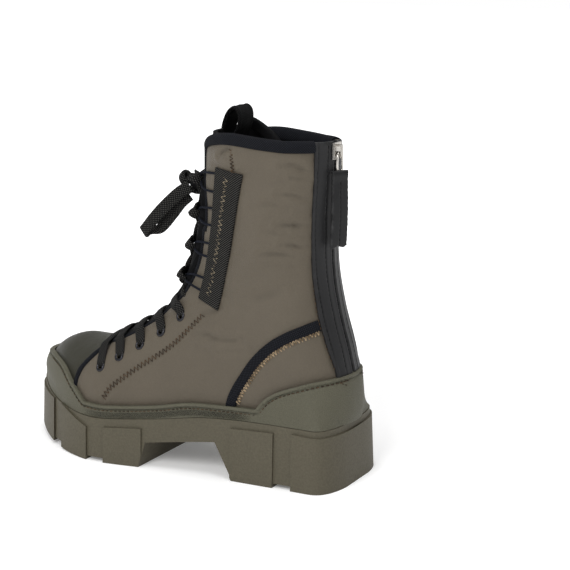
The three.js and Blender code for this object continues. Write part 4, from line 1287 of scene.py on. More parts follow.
def edge_of_sole(x, y):
    """The place on the sole's top edge that lies outward from places on its plan."""
    edge = plan_ring(lug_relief + side_draft * 0.9 + 0.4, 0)[:, :2]
    found = np.column_stack([x, y])
    centre = lambda at: float(sole_outline(np.array([at / sole_length]))[0, 0] * ball_width)
    for end, way in ((62, -1), (212, 1)):
        at, middle = np.array([end, centre(end)]), (x - end) * way > 0
        rim = edge[(edge[:, 0] - end) * way > -6] - at
        turn = np.arctan2(rim[:, 1], rim[:, 0] * way)
        order = np.argsort(turn)
        own = np.arctan2(y - at[1], (x - end) * way)
        radius = np.interp(own, turn[order], np.linalg.norm(rim[order], axis=1))
        there = at + np.column_stack([np.cos(own) * way, np.sin(own)]) * radius[:, None]
        found = np.where(middle[:, None], there, found)
    for sign in (1, -1):
        rim = edge[(edge[:, 1] - centre(120)) * sign > 0]
        order = np.argsort(rim[:, 0])
        there = np.column_stack([x, np.interp(x, rim[order, 0], rim[order, 1])])
        middle = (x >= 62) & (x <= 212) & ((y - centre(120)) * sign > 0)
        found = np.where(middle[:, None], there, found)
    return found


def spread(piece):
    """Leads the rand's foot out to the sole's edge, so that the two meet flush."""
    p = raw_points(piece).astype(float) / MM + (heel_centre, 0, 0)
    x, y, z = p.T
    high = z - sole_top(x)
    reach = np.interp(x, [50, 75, 205, 225], [32, 13, 13, 17])
    down = rand_z(x) - z
    share = np.clip(1 - high / reach, 0, 1) ** np.interp(x, [50, 80], [1.5, 0.9])
    share = share * np.clip((down - bead) / 3, 0, 1)
    share = np.where(high < -6, 0, share)
    there = edge_of_sole(x, y)
    outward = np.linalg.norm(there - (120, 0), axis=1) > np.linalg.norm(p[:, :2] - (120, 0), axis=1)
    inward = np.clip((14 - high) / 6, 0, 1) * (high > -6) * (x > 250)
    p[:, :2] += (there - p[:, :2]) * np.where(outward, share, inward)[:, None]
    piece.data.vertices.foreach_set("co", to_frame(p).astype(np.float32).ravel())
    piece.data.update()


rand = form("rand", rand_lift, rings=300, count=460, end=0.78)
spread(rand)
combine(
    rand,
    (CUT, form("core", 0.1, end=0.85, rings=90, count=110)),
    (CUT, above(rand_top)),
    (KEEP, above(bed_line(60))),
)
ribs = rand.data.attributes.new("ribs", "FLOAT", "POINT")
place = raw_points(rand) / MM + (heel_centre, 0, 0)
down = rand_z(place[:, 0]) - place[:, 2]
ends = np.clip((place[:, 0] - 66) / 14, 0, 1) * np.clip((212 - place[:, 0]) / 20, 0, 1)
ribbed = ends * np.clip((down - 4.6) / 0.8, 0, 1) * np.clip((10.5 - down) / 2, 0, 1)
ribs.data.foreach_set("value", ribbed.astype(np.float32))
dress(rand, grained_rubber, sharp=40)
stitch_line = rand_top + underside(rand_top) * (bead + 1.3)
sides = {"outer": 1, "inner": -1}
for word, side in sides.items():
    path, normals = side_path(stitch_line[stitch_line[:, 0] < 262], side)
    row = running(path, normals, 2.3, 1.2, 2.75)
    stitches(f"rand_stitches_{word}", row, brown_thread, 0.36, 0.35)
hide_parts("rand")

# %% [markdown]
# The sole is one moulding. Its wall is an outline in plan that narrows a little towards the top,
# lugs stand out of the wall, and the arch and the grooves are cut away. A bevel modifier breaks the
# edges: rubber is never sharp, and the thin highlight on a rounded edge is what makes the lugs
# readable.

# %% sole
lugs = [
    (0.0038, 0.1138, 0.89, 0.92), (0.1656, 0.2869, 0.89, 0.86), (0.5414, 0.6499, 0.65, 0.6),
    (0.7041, 0.8146, 0.56, 0.8), (0.857, 1.0099, 0.8, 0.85),
]


def wall(inset, name="wall"):
    rings = np.stack([plan_ring(inset, -8), plan_ring(inset + side_draft, heel_height + 8)])
    return orient(make(name, rings.reshape(-1, 3), tube(rings), smooth=False))


sole = wall(lug_relief, "outsole")
for start, end, tall, short in lugs:
    a, b = start * sole_length, end * sole_length
    lug = wall(0)
    outline = [(a, -8), (b, -8), (b, short * heel_height), (a, tall * heel_height)]
    combine(lug, (KEEP, prism("y", outline, -200, 200)))
    combine(sole, (JOIN, lug))
stations = np.linspace(0, sole_length, 61)
profile = np.concatenate([
    np.column_stack([stations, sole_bottom(stations)]), np.column_stack([stations, sole_top(stations)])[::-1]
])
profile[0], profile[-1] = (-9, 0), (-9, heel_height)
profile[60:62] = [(sole_length + 9, toe_spring), (sole_length + 9, toe_rim)]
combine(sole, (KEEP, prism("y", profile, -200, 200)))
arch = np.array([(0.28, -0.05), (0.3342, 1), (0.5325, 0.72), (0.5493, -0.05)]) * (sole_length, arch_height)
combine(sole, (CUT, prism("y", arch, -200, 200)))
for back, front in [(0, 1), (2, 3), (3, 4)]:
    a, b = lugs[back][1] * sole_length, lugs[front][0] * sole_length
    combine(sole, (CUT, block(a, b, -200, 200, -8, float(sole_bottom((a + b) / 2)) + tread_groove)))
flat_enough = math.radians(0.5)
mend(sole, lambda work: bmesh.ops.dissolve_limit(
    work, angle_limit=flat_enough, verts=work.verts, edges=work.edges
))
soft = sole.modifiers.new("soft edges", "BEVEL")
soft.width, soft.segments, soft.limit_method, soft.angle_limit = 0.0007, 2, "ANGLE", math.radians(32)
soft.harden_normals = False
dress(sole, rubber)
sole.data.shade_smooth()
sole.data.set_sharp_from_angle(angle=math.radians(30))
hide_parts("outsole")

# %% [markdown]
# The insole is seen only from above. The tongue is padded, and it bulges between the facings where
# the laces press on either side of it, so it is grown further off the form there. Its edge turns
# inside the collar as a soft roll.

# %% insole and tongue
insole_thickness = 4
insole = form("insole", -pad_wall - gap, end=0.8)
combine(insole, (KEEP, above(bed_line())), (CUT, above(bed_line(), insole_thickness)))
dress(insole, lining_fabric, sharp=40)
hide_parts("insole")

tongue_side = side_points([
    (0.274, 0.945), (0.285, 0.45), (0.44, 0.2), (0.7386, 0.1), (0.7386, 1), (0.349, 1),
])


def tongue_lift(points, normal):
    edge = np.abs(np.abs(points[..., 1]) - 26)
    quilt = 0.5 * np.cos(points[..., 2] / 16 * 2 * np.pi) * (points[..., 2] > 120)
    half = throat(points[..., 0].ravel() / sole_length)[:, 0].reshape(points.shape[:2]) * throat_half
    open_to = np.clip((half * 0.96 - np.abs(points[..., 1])) / 4, 0, 1)
    rolled = open_to * open_to * (3 - 2 * open_to)
    front = (points[..., 0] > 60) & (points[..., 2] < collar_z(points[..., 0], points[..., 1]) - 6)
    sink = 0.5 * np.exp(-((edge / 3) ** 2))
    z = points[..., 2]
    full = 2.8 * np.clip((z - 108) / 14, 0, 1) * np.clip((228 - z) / 14, 0, 1)
    return -pad_wall - 0.4 - sink + rolled * (pad_wall + 0.7 + full + 0.3 * quilt) * front


tongue = form("tongue", tongue_lift, rings=170, count=150)
combine(
    tongue,
    (CUT, form("core", -pad_wall - 3.6)),
    (KEEP, prism("y", tongue_side, -32, 32)),
)
dress(tongue, tongue_fabric, sharp=40)
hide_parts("tongue")
wing = curve([(108, -16, 258), (103, -23, 258), (95, -26, 253), (86, -26.5, 246), (80, -26, 238)], 10)
roll = sweep("tongue_wing", wing, np.tile([0.0, 1, 0], (len(wing), 1)), rounded(9.0, 5.5))
dress(roll, tongue_fabric, sharp=60)


# %% [markdown]
# Fabric tape is folded over the collar's rim, down the facings and along the quarters' front. A
# binding is a profile swept along the edge: for the collar the profile goes over the rim and down
# the inside. A small ripple in its width keeps it from looking moulded.

# %% bindings
def facing_edge(side):
    """The edge of the lace opening on the form, from the collar to its end."""
    at = np.linspace(0.93, 0.28, 220)
    turns = np.linspace(0, np.pi / 2, 200) * side
    points = form_points(at[:, None], turns[None, :])
    found = []
    for row in points:
        x = row[:, 0]
        half = throat(x / sole_length)[:, 0] * throat_half
        aside = row[:, 1] * side - half
        cross = np.flatnonzero((aside[:-1] < 0) & (aside[1:] >= 0))
        if len(cross) and x[cross[0]] < 0.7041 * sole_length:
            i = cross[0]
            t = -aside[i] / (aside[i + 1] - aside[i])
            found.append(row[i] * (1 - t) + row[i + 1] * t)
    return np.array(found)


def rim_path(side):
    """The collar's line on the form, from the zip's stay to the facing."""
    turns = even_turns(np.array([0.93]), 720)[0]
    turns = np.where(turns > np.pi, turns - 2 * np.pi, turns) * side
    turns = np.sort(turns[(turns > 0) & (turns < np.pi)])[::-1] * side
    at = np.linspace(0.8, 1, 120)
    points = form_points(at[:, None], turns[None, :])
    path = []
    for k in range(points.shape[1]):
        row = points[:, k]
        over = row[:, 2] - collar_z(row[:, 0], row[:, 1])
        i = np.flatnonzero((over[:-1] < 0) & (over[1:] >= 0))
        if not len(i):
            continue
        t = -over[i[0]] / (over[i[0] + 1] - over[i[0]])
        path.append(row[i[0]] * (1 - t) + row[i[0] + 1] * t)
    path = np.array(path)
    back = (path[:, 0] < 60) & (np.abs(path[:, 1]) < 19.2)
    front = (path[:, 0] > 90) & (np.abs(path[:, 1]) < throat_half * 1.12)
    return resample(path[~back & ~front], 1.6)


collar_profile = np.array([
    (0.1, -6.2), (0.9, -6.6), (1.7, -5.6), (2.0, -3.6), (1.8, -1.2), (1.0, 0.6), (-0.8, 1.6), (-2.6, 1.7),
    (-4.4, 1.2), (-5.4, 0), (-6.2, -2.6), (-6.4, -5), (-6.0, -7.5), (-5.2, -7.8), (-4.7, -7.4),
    (-4.6, -1.0), (-0.1, -1.0),
])


def closed_curve(profile):
    return curve(np.vstack([profile, profile[:1]]), 3)[:-1]


def collar_binding(side):
    path = rim_path(side)
    normals = soften(np.array([nearest(p)[1] for p in path]), 6)
    down = np.array([nearest(p - (0, 0, 10))[0] for p in path])
    drop = soften(unit(path - down), 6)
    run = run_along(path)
    ripple = 1 + 0.06 * np.sin(run / 2.3) * np.sin(run / 7.1 + side)
    return carried("part", path, closed_curve(collar_profile), normals, drop, ripple)


edge_profile = np.array([
    (3.3, 0.1), (3.2, 0.8), (2.0, 1.35), (0.6, 1.4), (-0.5, 0.8), (-1.0, -0.6), (-1.0, -2.6), (-0.9, -4.2),
    (0.6, -4.6), (1.2, -4.2), (0.8, 0.0),
])


def edge_binding(path, side):
    normals = soften(np.array([nearest(p)[1] for p in path]), 8)
    path = soften(path, 3)
    aside = unit(np.cross(unit(np.gradient(path, axis=0)), normals)) * side
    run = run_along(path)
    ripple = 1 + 0.1 * np.sin(run / 1.7) * np.sin(run / 5.3 + side)
    return carried("part", path, closed_curve(edge_profile), aside, normals, ripple)


for word, side in sides.items():
    edge = facing_edge(side)
    edge = edge[edge[:, 2] < collar_z(edge[:, 0], edge[:, 1]) + 0.5]
    front, _ = side_path(quarter_front[quarter_front[:, 0] > edge[:, 0].max() - 2], side, 1.0)
    front = front[::-1]
    near = np.argmin(np.linalg.norm(front - edge[-1], axis=1))
    whole = resample(np.vstack([edge, front[near + 2 :]]) if near < len(front) - 4 else edge, 1.0)
    parts = [collar_binding(side), edge_binding(soften(whole, 4), side)]
    piece = joined(f"binding_{word}", parts)
    dress(piece, binding_fabric, sharp=60)
    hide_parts(f"binding_{word}")
print("bindings done")

# %% [markdown]
# Each eyelet is a pressed metal ring with a dark hole. It is turned on a lathe: a profile of radius
# and height goes round the normal of the skin. The holes are cut through the quarters first, so
# that the laces can really dive into them.

# %% eyelets
eyelet_rows = [
    (0.6777, 0.402, 0.1213), (0.626, 0.373, 0.1669), (0.5709, 0.3305, 0.2149), (0.5137, 0.294, 0.27),
    (0.4586, 0.271, 0.3343),
]
seats = {
    word: [
        nearest((x * sole_length, side * y * ball_width, heel_height + up * rise))
        for x, y, up in eyelet_rows
    ]
    for word, side in sides.items()
}


def turned(name, profile, place, normal, count=28):
    """A round piece turned about a normal: the profile is (radius, height) pairs."""
    profile = np.array(profile, float)
    first = unit(np.cross(normal, (0.3, 0.2, 0.93)))
    second = np.cross(normal, first)
    angle = np.linspace(0, 2 * np.pi, count, endpoint=False)
    ring = first[None] * np.cos(angle)[:, None] + second[None] * np.sin(angle)[:, None]
    points = place + ring[None] * profile[:, 0, None, None] + normal * profile[:, 1, None, None]
    return orient(make(name, points.reshape(-1, 3), tube(points)))


pins = []
for word, side in sides.items():
    for i, (place, normal) in enumerate(seats[word]):
        pins.append(turned("pin", [(1.9, -6), (1.9, 3)], place, normal, 16))
        rim = [
            (0.02, -4.8), (1.75, -4.6), (1.85, 0.2), (2.2, 1.1), (2.9, 1.6), (3.6, 1.4), (4.2, 0.7),
            (4.25, 0.1),
            (3.0, -0.4), (1.95, -0.6), (1.9, -5.2), (0.02, -5.4),
        ]
        eyelet = turned(f"eyelet_ring_{word}_{i + 1}", rim, place, normal)
        dress(eyelet, dark_metal, sharp=60)
        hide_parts(f"eyelet_{word}_{i + 1}")
combine(quarters, (CUT, joined("pins", pins)))
quarters.data.set_sharp_from_angle(angle=math.radians(50))

# %% [markdown]
# A heavy twill strip holds the cord loops on each side, sewn with one zigzag down its middle. The
# heel band is tape along an arch, with short teeth of brown thread below it. Both are sheets laid
# on the skin row by row, with thin rounded edges. The zigzag on the vamp is real thread too,
# because its shadow shows at this scale.

# %% twill strips and heel bands


def on_side_grid(flat, side):
    """Points and normals of the skin for a grid of side-view places."""
    return split([[on_side(x, z, side) for x, z in row] for row in flat])


def patch(name, outline, side, lift, depth, columns, rows):
    """A sheet on the skin inside a side-view outline of four corners, with soft edges."""
    a, b, c, d = [np.asarray(corner, float) for corner in outline]
    u, v = np.linspace(0, 1, rows), np.linspace(0, 1, columns)
    top = a[None] + (b - a)[None] * u[:, None]
    low = d[None] + (c - d)[None] * u[:, None]
    flat = top[None] + (low - top)[None] * v[:, None, None]
    return sheet_from(name, *on_side_grid(flat, side), lift, depth)


def sheet_from(name, points, normals, lift, depth):
    """A closed sheet whose outer face lies a lift above points, thin and rounded at its edges."""
    rows, columns = points.shape[:2]
    i = np.minimum(np.arange(rows), np.arange(rows)[::-1])[:, None]
    j = np.minimum(np.arange(columns), np.arange(columns)[::-1])[None]
    run_u = np.linalg.norm(np.diff(points, axis=1), axis=2).mean()
    run_v = np.linalg.norm(np.diff(points, axis=0), axis=2).mean()
    edge = np.clip(np.minimum(i * run_v, j * run_u) / 0.8, 0, 1)
    raised = np.asarray(lift) * (0.55 + 0.45 * np.sqrt(edge))
    outer = points + normals * raised[..., None]
    inner = points - normals * depth
    rings = np.concatenate([outer, inner[:, ::-1]], 1)
    u = run_along(points.mean(0))
    v = run_along(points.mean(1))
    u = np.concatenate([u, u[::-1]])
    uv = np.stack(np.broadcast_arrays(u[None], -v[:, None]), -1).reshape(-1, 2) * MM
    return orient(make(name, rings.reshape(-1, 3), tube(rings), uv=uv))


for word, side in sides.items():
    corners = strip_corners[[1, 0, 3, 2]]
    strip = patch(f"strip_{word}", corners, side, 1.5, 0.3, 120, 26)
    if side > 0:
        uv = strip.data.uv_layers[0]
        flat = np.zeros(len(strip.data.loops) * 2, np.float32)
        uv.data.foreach_get("uv", flat)
        flat = flat.reshape(-1, 2) * (-1, 1)
        uv.data.foreach_set("uv", flat.astype(np.float32).ravel())
    dress(strip, twill, sharp=60)
    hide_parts(f"twill_strip_{word}")
    middle = np.array([(corners[0] + corners[1]) / 2 + (1, -3), (corners[2] + corners[3]) / 2 + (0, 3)])
    path, normals = side_path(middle, side, 1.5)
    stitches(f"strip_stitches_{word}", zigzags(path, normals, 4.4, 1.9, 1.55), gold_thread, 0.27, 0.2)

band_width = 8.0
heel_band_low = heel_band_top + underside(heel_band_top) * band_width
band_share = np.linspace(0, 1, 9)[None, :, None]
for word, side in sides.items():
    flat = heel_band_top[:, None] + (heel_band_low - heel_band_top)[:, None] * band_share
    points, normals = on_side_grid(flat, side)
    above_rand = points[:, :, 2].min(1) > rand_z(points[:, :, 0].mean(1)) - 4
    shown = (np.abs(points[:, :, 1]).min(1) > 19) & above_rand
    band = sheet_from(f"heel_band_cloth_{word}", points[shown], normals[shown], 1.5, 0.2)
    dress(band, binding_fabric, sharp=60)
    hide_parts(f"heel_band_{word}")
    path, normals = side_path(heel_band_low + underside(heel_band_top) * 0.6, side)
    above_rand = path[:, 2] > rand_z(path[:, 0]) + 1
    keep = above_rand & (np.abs(path[:, 1]) > 20.8)
    row = zigzags(path[keep], normals[keep], 4.4, 1.25, 0.75)
    stitches(f"heel_band_stitches_{word}", row, brown_light, 0.34, 0.25)
    path, normals = side_path(zigzag_line, side)
    row = zigzags(path[1:-4], normals[1:-4], 4.4, 1.75, 0.1)
    stitches(f"quarter_stitches_{word}", row, brown_thread, 0.27, 0.3)
    ladder = np.array([(81, 247.5), (80.4, 237), (79.8, 227.5)]) + (4, 0)
    path, normals = side_path(ladder, side, 0.8)
    stitches(f"top_seam_stitches_{word}", zigzags(path, normals, 3.4, 1.3, 0.3), brown_thread, 0.32, 0.25)
print("strips and bands done")

# %% [markdown]
# Two stays of coated fabric run down beside the zip. The back of the boot is found by casting rays
# at it from behind. Two grooves in each stay carry dark stitches, the outer edge is folded, and the
# tape and the two rows of teeth lie between the stays.

# %% zip at the back


def on_back(y, z):
    place, _, index, _ = skin_tree.ray_cast(Vector((-100, y, z)), Vector((1, 0, 0)))
    return np.array(place), normal_at(index, place)


def back_z(y, side):
    """Where the stays start above the counter and end at the collar, at a place across the back."""
    x = on_back(side * y, 200)[0][0]
    return 84.0 - y * 0.06, float(collar_z(x, side * y)) + 0.9


def groove(y, centre, width):
    return np.exp(-((y - centre) / width) ** 2)


chain_half, stay_reach = 1.2, 22
for word, side in sides.items():
    rows, columns = 110, 46
    shares = np.concatenate([np.linspace(0, 0.94, columns - 8), np.linspace(0.95, 1, 8)])
    points, normals = np.zeros((rows, columns, 3)), np.zeros((rows, columns, 3))
    lifts = np.zeros((rows, columns))
    for j, share in enumerate(shares):
        low, high = back_z(chain_half + share * stay_reach, side)
        for i, z in enumerate(np.linspace(low - 3, high, rows)):
            y = chain_half + share * (stay_half(z) - chain_half)
            points[i, j], normals[i, j] = on_back(side * y, z)
            lifts[i, j] = 1.5 - 0.5 * groove(y, 8.6, 0.55) - 0.5 * groove(y, 17.2, 0.55)
            lifts[i, j] += 0.6 * groove(y, stay_half(z) - 1.2, 1.1) + 0.3 * groove(y, 2.4, 1.2)
    stay = sheet_from(f"stay_{word}", points, normals, lifts, 0.4)
    dress(stay, coated_fabric, sharp=60)
    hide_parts(f"zip_stay_{word}")
    rows_of = []
    for aside, space in ((8.6, 1.3), (17.2, 1.3), (2.6, 1.6)):
        heights = np.linspace(88, back_z(aside, side)[1] - 2, 130)
        rows_of += running(*split([on_back(side * aside, z) for z in heights]), 2.2, space, 1.25)
    stitches(f"stay_stitches_{word}", rows_of, dark_thread, 0.36, 0.15)
    heights = np.linspace(88, 150, 90)
    laid = split([on_back(side * float(stay_half(z) + 0.5), z) for z in heights])
    edge_rows = running(*laid, 1.6, 1.5, 1.2)
    stitches(f"stay_edge_stitches_{word}", edge_rows, brown_thread, 0.26, 0.2)

heights = np.linspace(92, 252, 120)
laid = split([[on_back(y, z) for y in np.linspace(-6, 6, 9)] for z in heights])
tape = sheet_from("zip_band", *laid, -0.6, 2.0)
dress(tape, webbing, sharp=60)
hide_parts("zip_tape")
teeth = []
for k, z in enumerate(np.arange(96, 250.5, 1.5)):
    place, normal = on_back(0, z)
    y = 0.45 if k % 2 else -0.45
    a, b = place + normal * 0.1 + (0, y - 0.75, 0), place + normal * 0.1 + (0, y + 0.75, 0)
    teeth.append((a, b, normal))
row_of_teeth = stitches("teeth", teeth, dark_metal, 0.6, 0.35)
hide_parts("zip_teeth")

# %% [markdown]
# The slider is the frame's own solid with softened edges. The ring and the tab hang from it and
# swing on the hinge, so they ride on the puller's body. The tab is a long piece of fabric folded
# over the ring, turned a little to the outer side, with a frayed end.

# %% slider, ring and pull tab
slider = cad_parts["zip_slider"]
slider.data.materials.clear()
slider.data.materials.append(bright_metal)
soft = slider.modifiers.new("soft edges", "BEVEL")
soft.width, soft.segments = 0.0005, 3
pin_low, pin_high = in_part(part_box("zip_puller"))
pin_x = (pin_low[0] + pin_high[0]) / 2
ring_half, ring_top, ring_low = pin_high[1], pin_high[2] - 0.75, pin_low[2]
angle = np.linspace(0, 2 * np.pi, 65)
arc_y = np.sign(np.cos(angle)) * np.abs(np.cos(angle)) ** 0.75 * (ring_half - 1.0)
arc_z = np.sign(np.sin(angle)) * np.abs(np.sin(angle)) ** 0.75 * (ring_top - ring_low) / 2
ring_path = np.column_stack([np.full(65, pin_x), arc_y, (ring_top + ring_low) / 2 + arc_z])
backwards = np.tile([-1.0, 0, 0], (65, 1))
ring = sweep("pull_ring", ring_path, backwards, rounded(2.1, 1.5), closed_ends=False)
mend(ring, lambda work: bmesh.ops.remove_doubles(work, verts=work.verts, dist=1e-5))
dress(ring, bright_metal, "zip_pull", 60)
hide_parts("zip_puller")

tab_low, tab_high = in_part(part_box("pull_tab"))
tab_x = (tab_low[0] + tab_high[0]) / 2
rows, columns = 90, 26
v, u = np.linspace(0, 1, rows)[:, None], np.linspace(-1, 1, columns)[None]
half = 6.6 + 0.9 * v + 0.12 * np.sin(v * 90) + 0.1 * np.sin(v * 37 + 1)
twist = 0.5 - 0.14 * v
ragged = 0.8 * np.sin(u * 5 + 1) * (v > 0.97)
tab_points = np.stack([
    np.broadcast_to(tab_x - 1.6 + np.sin(twist) * u * half - 0.8 * np.sin(v * 3.0), (rows, columns)),
    np.cos(twist) * u * half + 1.4 * v + 3.0,
    np.broadcast_to(tab_high[2] - 0.3 - v * (tab_high[2] - tab_low[2] - 0.8) + ragged, (rows, columns)),
], -1)
tab_normals = np.stack(
    np.broadcast_arrays(-np.cos(twist) + 0 * u, np.sin(twist) + 0 * u, 0 * u + 0 * v), -1
)
seam = 0.45 * np.exp(-((u * half) / 0.5) ** 2) * (v > 0.14)
fold = 1.1 * np.exp(-(((v - 0.05) / 0.06) ** 2))
tab = sheet_from("zip_pull_tab", tab_points, unit(tab_normals), 1.0 + fold - seam, 1.0)
dress(tab, tab_fabric, "zip_pull", 60)
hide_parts("pull_tab")
middle = tab_points[:, columns // 2 - 1 : columns // 2 + 1].mean(1)
tab_rows = running(middle[12:], unit(tab_normals)[12:, 0], 1.9, 1.5, 0.75)
tab_stitches = stitches("tab_stitches", tab_rows, dark_thread, 0.26, 0.15)
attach(tab_stitches, "zip_pull")
print("zip done")

# %% [markdown]
# A wide webbing loop stands on the tongue to pull the boot on. It is a flat profile swept along the
# fold, with ribs across its width and a row of stitches near each edge.

# %% pull loop
loop_fold = [
    (0, -0.78), (0, -0.4), (0.06, -0.05), (0.14, 0.32), (0.31, 0.66), (0.54, 0.81), (0.7, 0.68), (0.73, 0.41),
    (0.65, 0.09), (0.45, -0.2), (0.22, -0.4), (0.12, -0.6), (0.12, -0.8),
]
_, loop_high = in_part(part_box("pull_loop"))
loop_width = 22.0
front_x = loop_high[0] - 1.0
places = np.array([
    (front_x - back * loop_width, 0, collar_height + up * loop_width) for back, up in loop_fold
])
path = curve(places, 6)
run = np.gradient(path, axis=0)
facing = np.column_stack([-run[:, 2], np.zeros(len(run)), run[:, 0]])
webbing_profile = rounded(loop_width, 2.2, 0.35, 9)
ribs_across = np.cos(webbing_profile[:, 0] / loop_width * 2 * np.pi * 5)
webbing_profile[:, 1] += 0.25 * ribs_across * np.sign(webbing_profile[:, 1])
loop = sweep("pull_loop_webbing", path, facing, webbing_profile)
dress(loop, webbing, sharp=60)
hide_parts("pull_loop")
loop_rows = []
for aside in (-9.2, 9.2):
    loop_rows += running(path[6:-8] + (0, aside, 0), unit(facing)[6:-8], 2.2, 1.4, 1.05)
stitches("pull_loop_stitches", loop_rows, dark_thread, 0.28, 0.2)

# %% [markdown]
# Four thin cords on each side come out from under the twill strip, reach over the facing and go
# back. The lace is threaded through their tips, so the tips are kept for the next step.

# %% cord loops
def strip_front(z):
    top, foot = strip_corners[0], strip_corners[3]
    t = (top[1] - z) / (top[1] - foot[1])
    return top[0] + (foot[0] - top[0]) * t


def lifted(x, y, z, lift):
    place, normal = nearest((x, y, z))
    return place + normal * lift, normal


tip_y = throat_half - 5
cord_lift = 3.3
cord_tips = {word: [] for word in sides}
for word, side in sides.items():
    for k, (up, spread) in enumerate(cord_rises):
        z = heel_height + up * rise
        stops = []
        for sign in (1, -1):
            start = strip_front(z + sign * spread)
            leg = [
                lifted(start - 2, side * throat_half * 2.1, z + sign * spread, 0.1),
                lifted(start + 3, side * throat_half * 1.6, z + sign * spread, 0.9),
                lifted(start + 9, side * (throat_half + 3), z + sign * spread * 0.9, cord_lift - 0.6),
            ]
            stops += leg if sign > 0 else leg[::-1]
            if sign > 0:
                stops += [
                    lifted(strip_front(z) + 20, side * (tip_y + 2), z + spread * 0.5, cord_lift),
                    lifted(strip_front(z) + 20, side * tip_y, z, cord_lift - 0.2),
                    lifted(strip_front(z) + 20, side * (tip_y + 2), z - spread * 0.5, cord_lift),
                ]
        cord_tips[word].append(stops[4])
        path = curve([p for p, _ in stops], 6)
        normals = curve([n for _, n in stops], 6)
        cord = sweep(f"cord_loop_{word}_{k + 1}", path, normals, circle(0.9, 10))
        dress(cord, cord_fabric)
        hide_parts(f"lace_loop_{word}_{k + 1}")

# %% [markdown]
# The lace goes from eyelet to eyelet over the tongue: at each row it dives into the eyelet from
# outside and comes out from under the opposite facing one row below. Above the eyelets it is folded
# round the tip of each cord loop, from side to side, up to the knot. The flat side's direction is
# given at every stop, because a flat lace shows each twist.

# %% lace
lace_parts = []
other = {"outer": "inner", "inner": "outer"}


def strand(stops, width=8.2, thickness=2.3):
    """A length of lace through (point, direction of its flat side) stops."""
    path = curve([p for p, _ in stops], 6)
    normals = soften(unit(curve([n for _, n in stops], 6)))
    return sweep("part", path, normals, rounded(width, thickness, 0.6))


for word, side in sides.items():
    across = seats[other[word]]
    for i, (place, normal) in enumerate(seats[word]):
        low_place = across[max(i - 1, 0)][0]
        edge_y = side * (throat(np.array([place[0] / sole_length]))[0, 0] * throat_half)
        def between(t, lift, y):
            x, z = place[0] + (low_place[0] - place[0]) * t, place[2] + (low_place[2] - place[2]) * t
            return lifted(x, y, z + 6, lift)
        toward = unit(np.array([0, -side, 0.55]))
        stops = [
            (place - normal * 1.6 + toward * 0.9, normal),
            (place + normal * 0.8 + toward * 1.6, normal),
            (place + normal * 2.7 + toward * 3.6, normal),
            between(0.12, 3.3, edge_y + side * 2.0),
            between(0.22, 3.2, edge_y - side * 2.5),
            between(0.36, 2.6, side * 8),
            between(0.52, 2.2, 0),
        ]
        if i == 0 and side < 0:
            continue
        if i == 0:
            far_place, far_normal = seats["inner"][0]
            away = unit(np.array([0, 1, 0.55]))
            bar = stops[:5] + [
                between(0, 2.0, 0),
                lifted(far_place[0], 2.5 - edge_y, far_place[2] + 6, 2.2),
                lifted(far_place[0], -edge_y - 2.0, far_place[2] + 6, 2.7),
                (far_place + far_normal * 2.7 + away * 3.6, far_normal),
                (far_place + far_normal * 0.8 + away * 1.6, far_normal),
                (far_place - far_normal * 1.6 + away * 0.9, far_normal),
            ]
            lace_parts.append(strand(bar))
            continue
        stops += [
            between(0.68, 1.4, -side * 8),
            between(0.82, -1.2, -side * (abs(edge_y) - 3)),
            between(0.9, -4.0, -side * (abs(edge_y) + 2)),
        ]
        lace_parts.append(strand(stops))

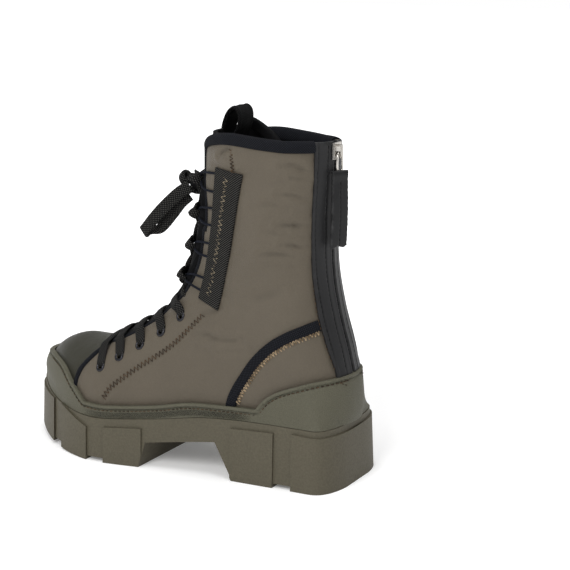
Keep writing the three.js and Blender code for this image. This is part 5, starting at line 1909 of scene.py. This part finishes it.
for word, side in sides.items():
    start, _ = seats[other[word]][4]
    stops = [
        lifted(start[0] - 1, -side * 20, start[2] + 8, -4.0),
        lifted(start[0] - 3, -side * 11, start[2] + 11, 1.5),
    ]
    stops = [(p, -n) for p, n in stops]
    now, turn = word, 1
    for k in range(4):
        tip, ahead = cord_tips[now][k]
        out = np.array([0, side if now == word else -side, 0])
        rise_by = np.array([0, 0, 1.0])
        fold = [
            (lifted(tip[0] + 8, tip[1] - out[1] * 8, tip[2] - 4.5, 4.2)[0], -ahead),
            (tip - out * 1.5 + ahead * 0.8 - rise_by * 2.5, out * 0.7 - ahead),
            (tip + out * 3.0 + ahead * 2.2 - rise_by * 0.8, out),
            (tip + out * 2.4 + ahead * 4.6 + rise_by * 0.8, out + ahead * 0.5),
            (tip - out * 2.0 + ahead * 4.6 + rise_by * 2.0, ahead + out * 0.3),
            (lifted(tip[0] + 8, tip[1] - out[1] * 8, tip[2] + 5.0, 5.2)[0], ahead),
        ]
        fold = fold[:-1] if k == 3 else fold
        stops += [(p, unit(n) * turn) for p, n in fold]
        now, turn = other[now], -turn
    stops.append((knot + (-5, 0, 1), np.array([-1.0, 0, 0])))
    lace_parts.append(strand(stops, 7.6, 2.6))
lace = joined("lace", lace_parts)
dress(lace, lace_fabric)
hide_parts("lace_crossings")

# %% [markdown]
# The knot is a flattened trefoil with small wraps round it. At this size its lumps matter more than
# its true topology.

# %% the knot
t = np.linspace(0, 2 * np.pi, 97)
tre = np.column_stack([
    (np.sin(t) + 2 * np.sin(2 * t)) * 2.9, -np.sin(3 * t) * 4.2, (np.cos(t) - 2 * np.cos(2 * t)) * 2.3,
]) + knot + (-0.5, 0, 0)
wraps = [sweep("part", tre, unit(tre - knot + (0.01, 0, 0)), rounded(7.4, 3.0, 0.6))]
small_wraps = [((-9, 3, 6.0), 3.6, 0.5), ((10.5, 1, 3.5), 3.9, -0.4), ((-7.5, 6, -3.0), 3.2, 1.1)]
for centre, size, lean in small_wraps:
    ring_angle = np.linspace(0, 2 * np.pi, 49)
    ring = np.column_stack([
        np.cos(ring_angle) * size * 0.6, np.sin(ring_angle) * size * np.cos(lean),
        np.sin(ring_angle) * size * np.sin(lean) + np.cos(ring_angle) * size * 0.7,
    ]) + knot + centre
    wraps.append(sweep("part", ring, unit(ring - knot - centre), rounded(6.4, 3.6, 0.6)))
heart = [(0.1, -7), (3.5, -6.2), (5.2, -3), (5.6, 0), (5.2, 3), (3.5, 6.2), (0.1, 7)]
core = turned("part", heart, knot, np.array([0.0, 1, 0]), 20)
tied = joined("lace_knot", [*wraps, core])
dress(tied, lace_fabric)
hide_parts("bow_knot")
print("lace done")
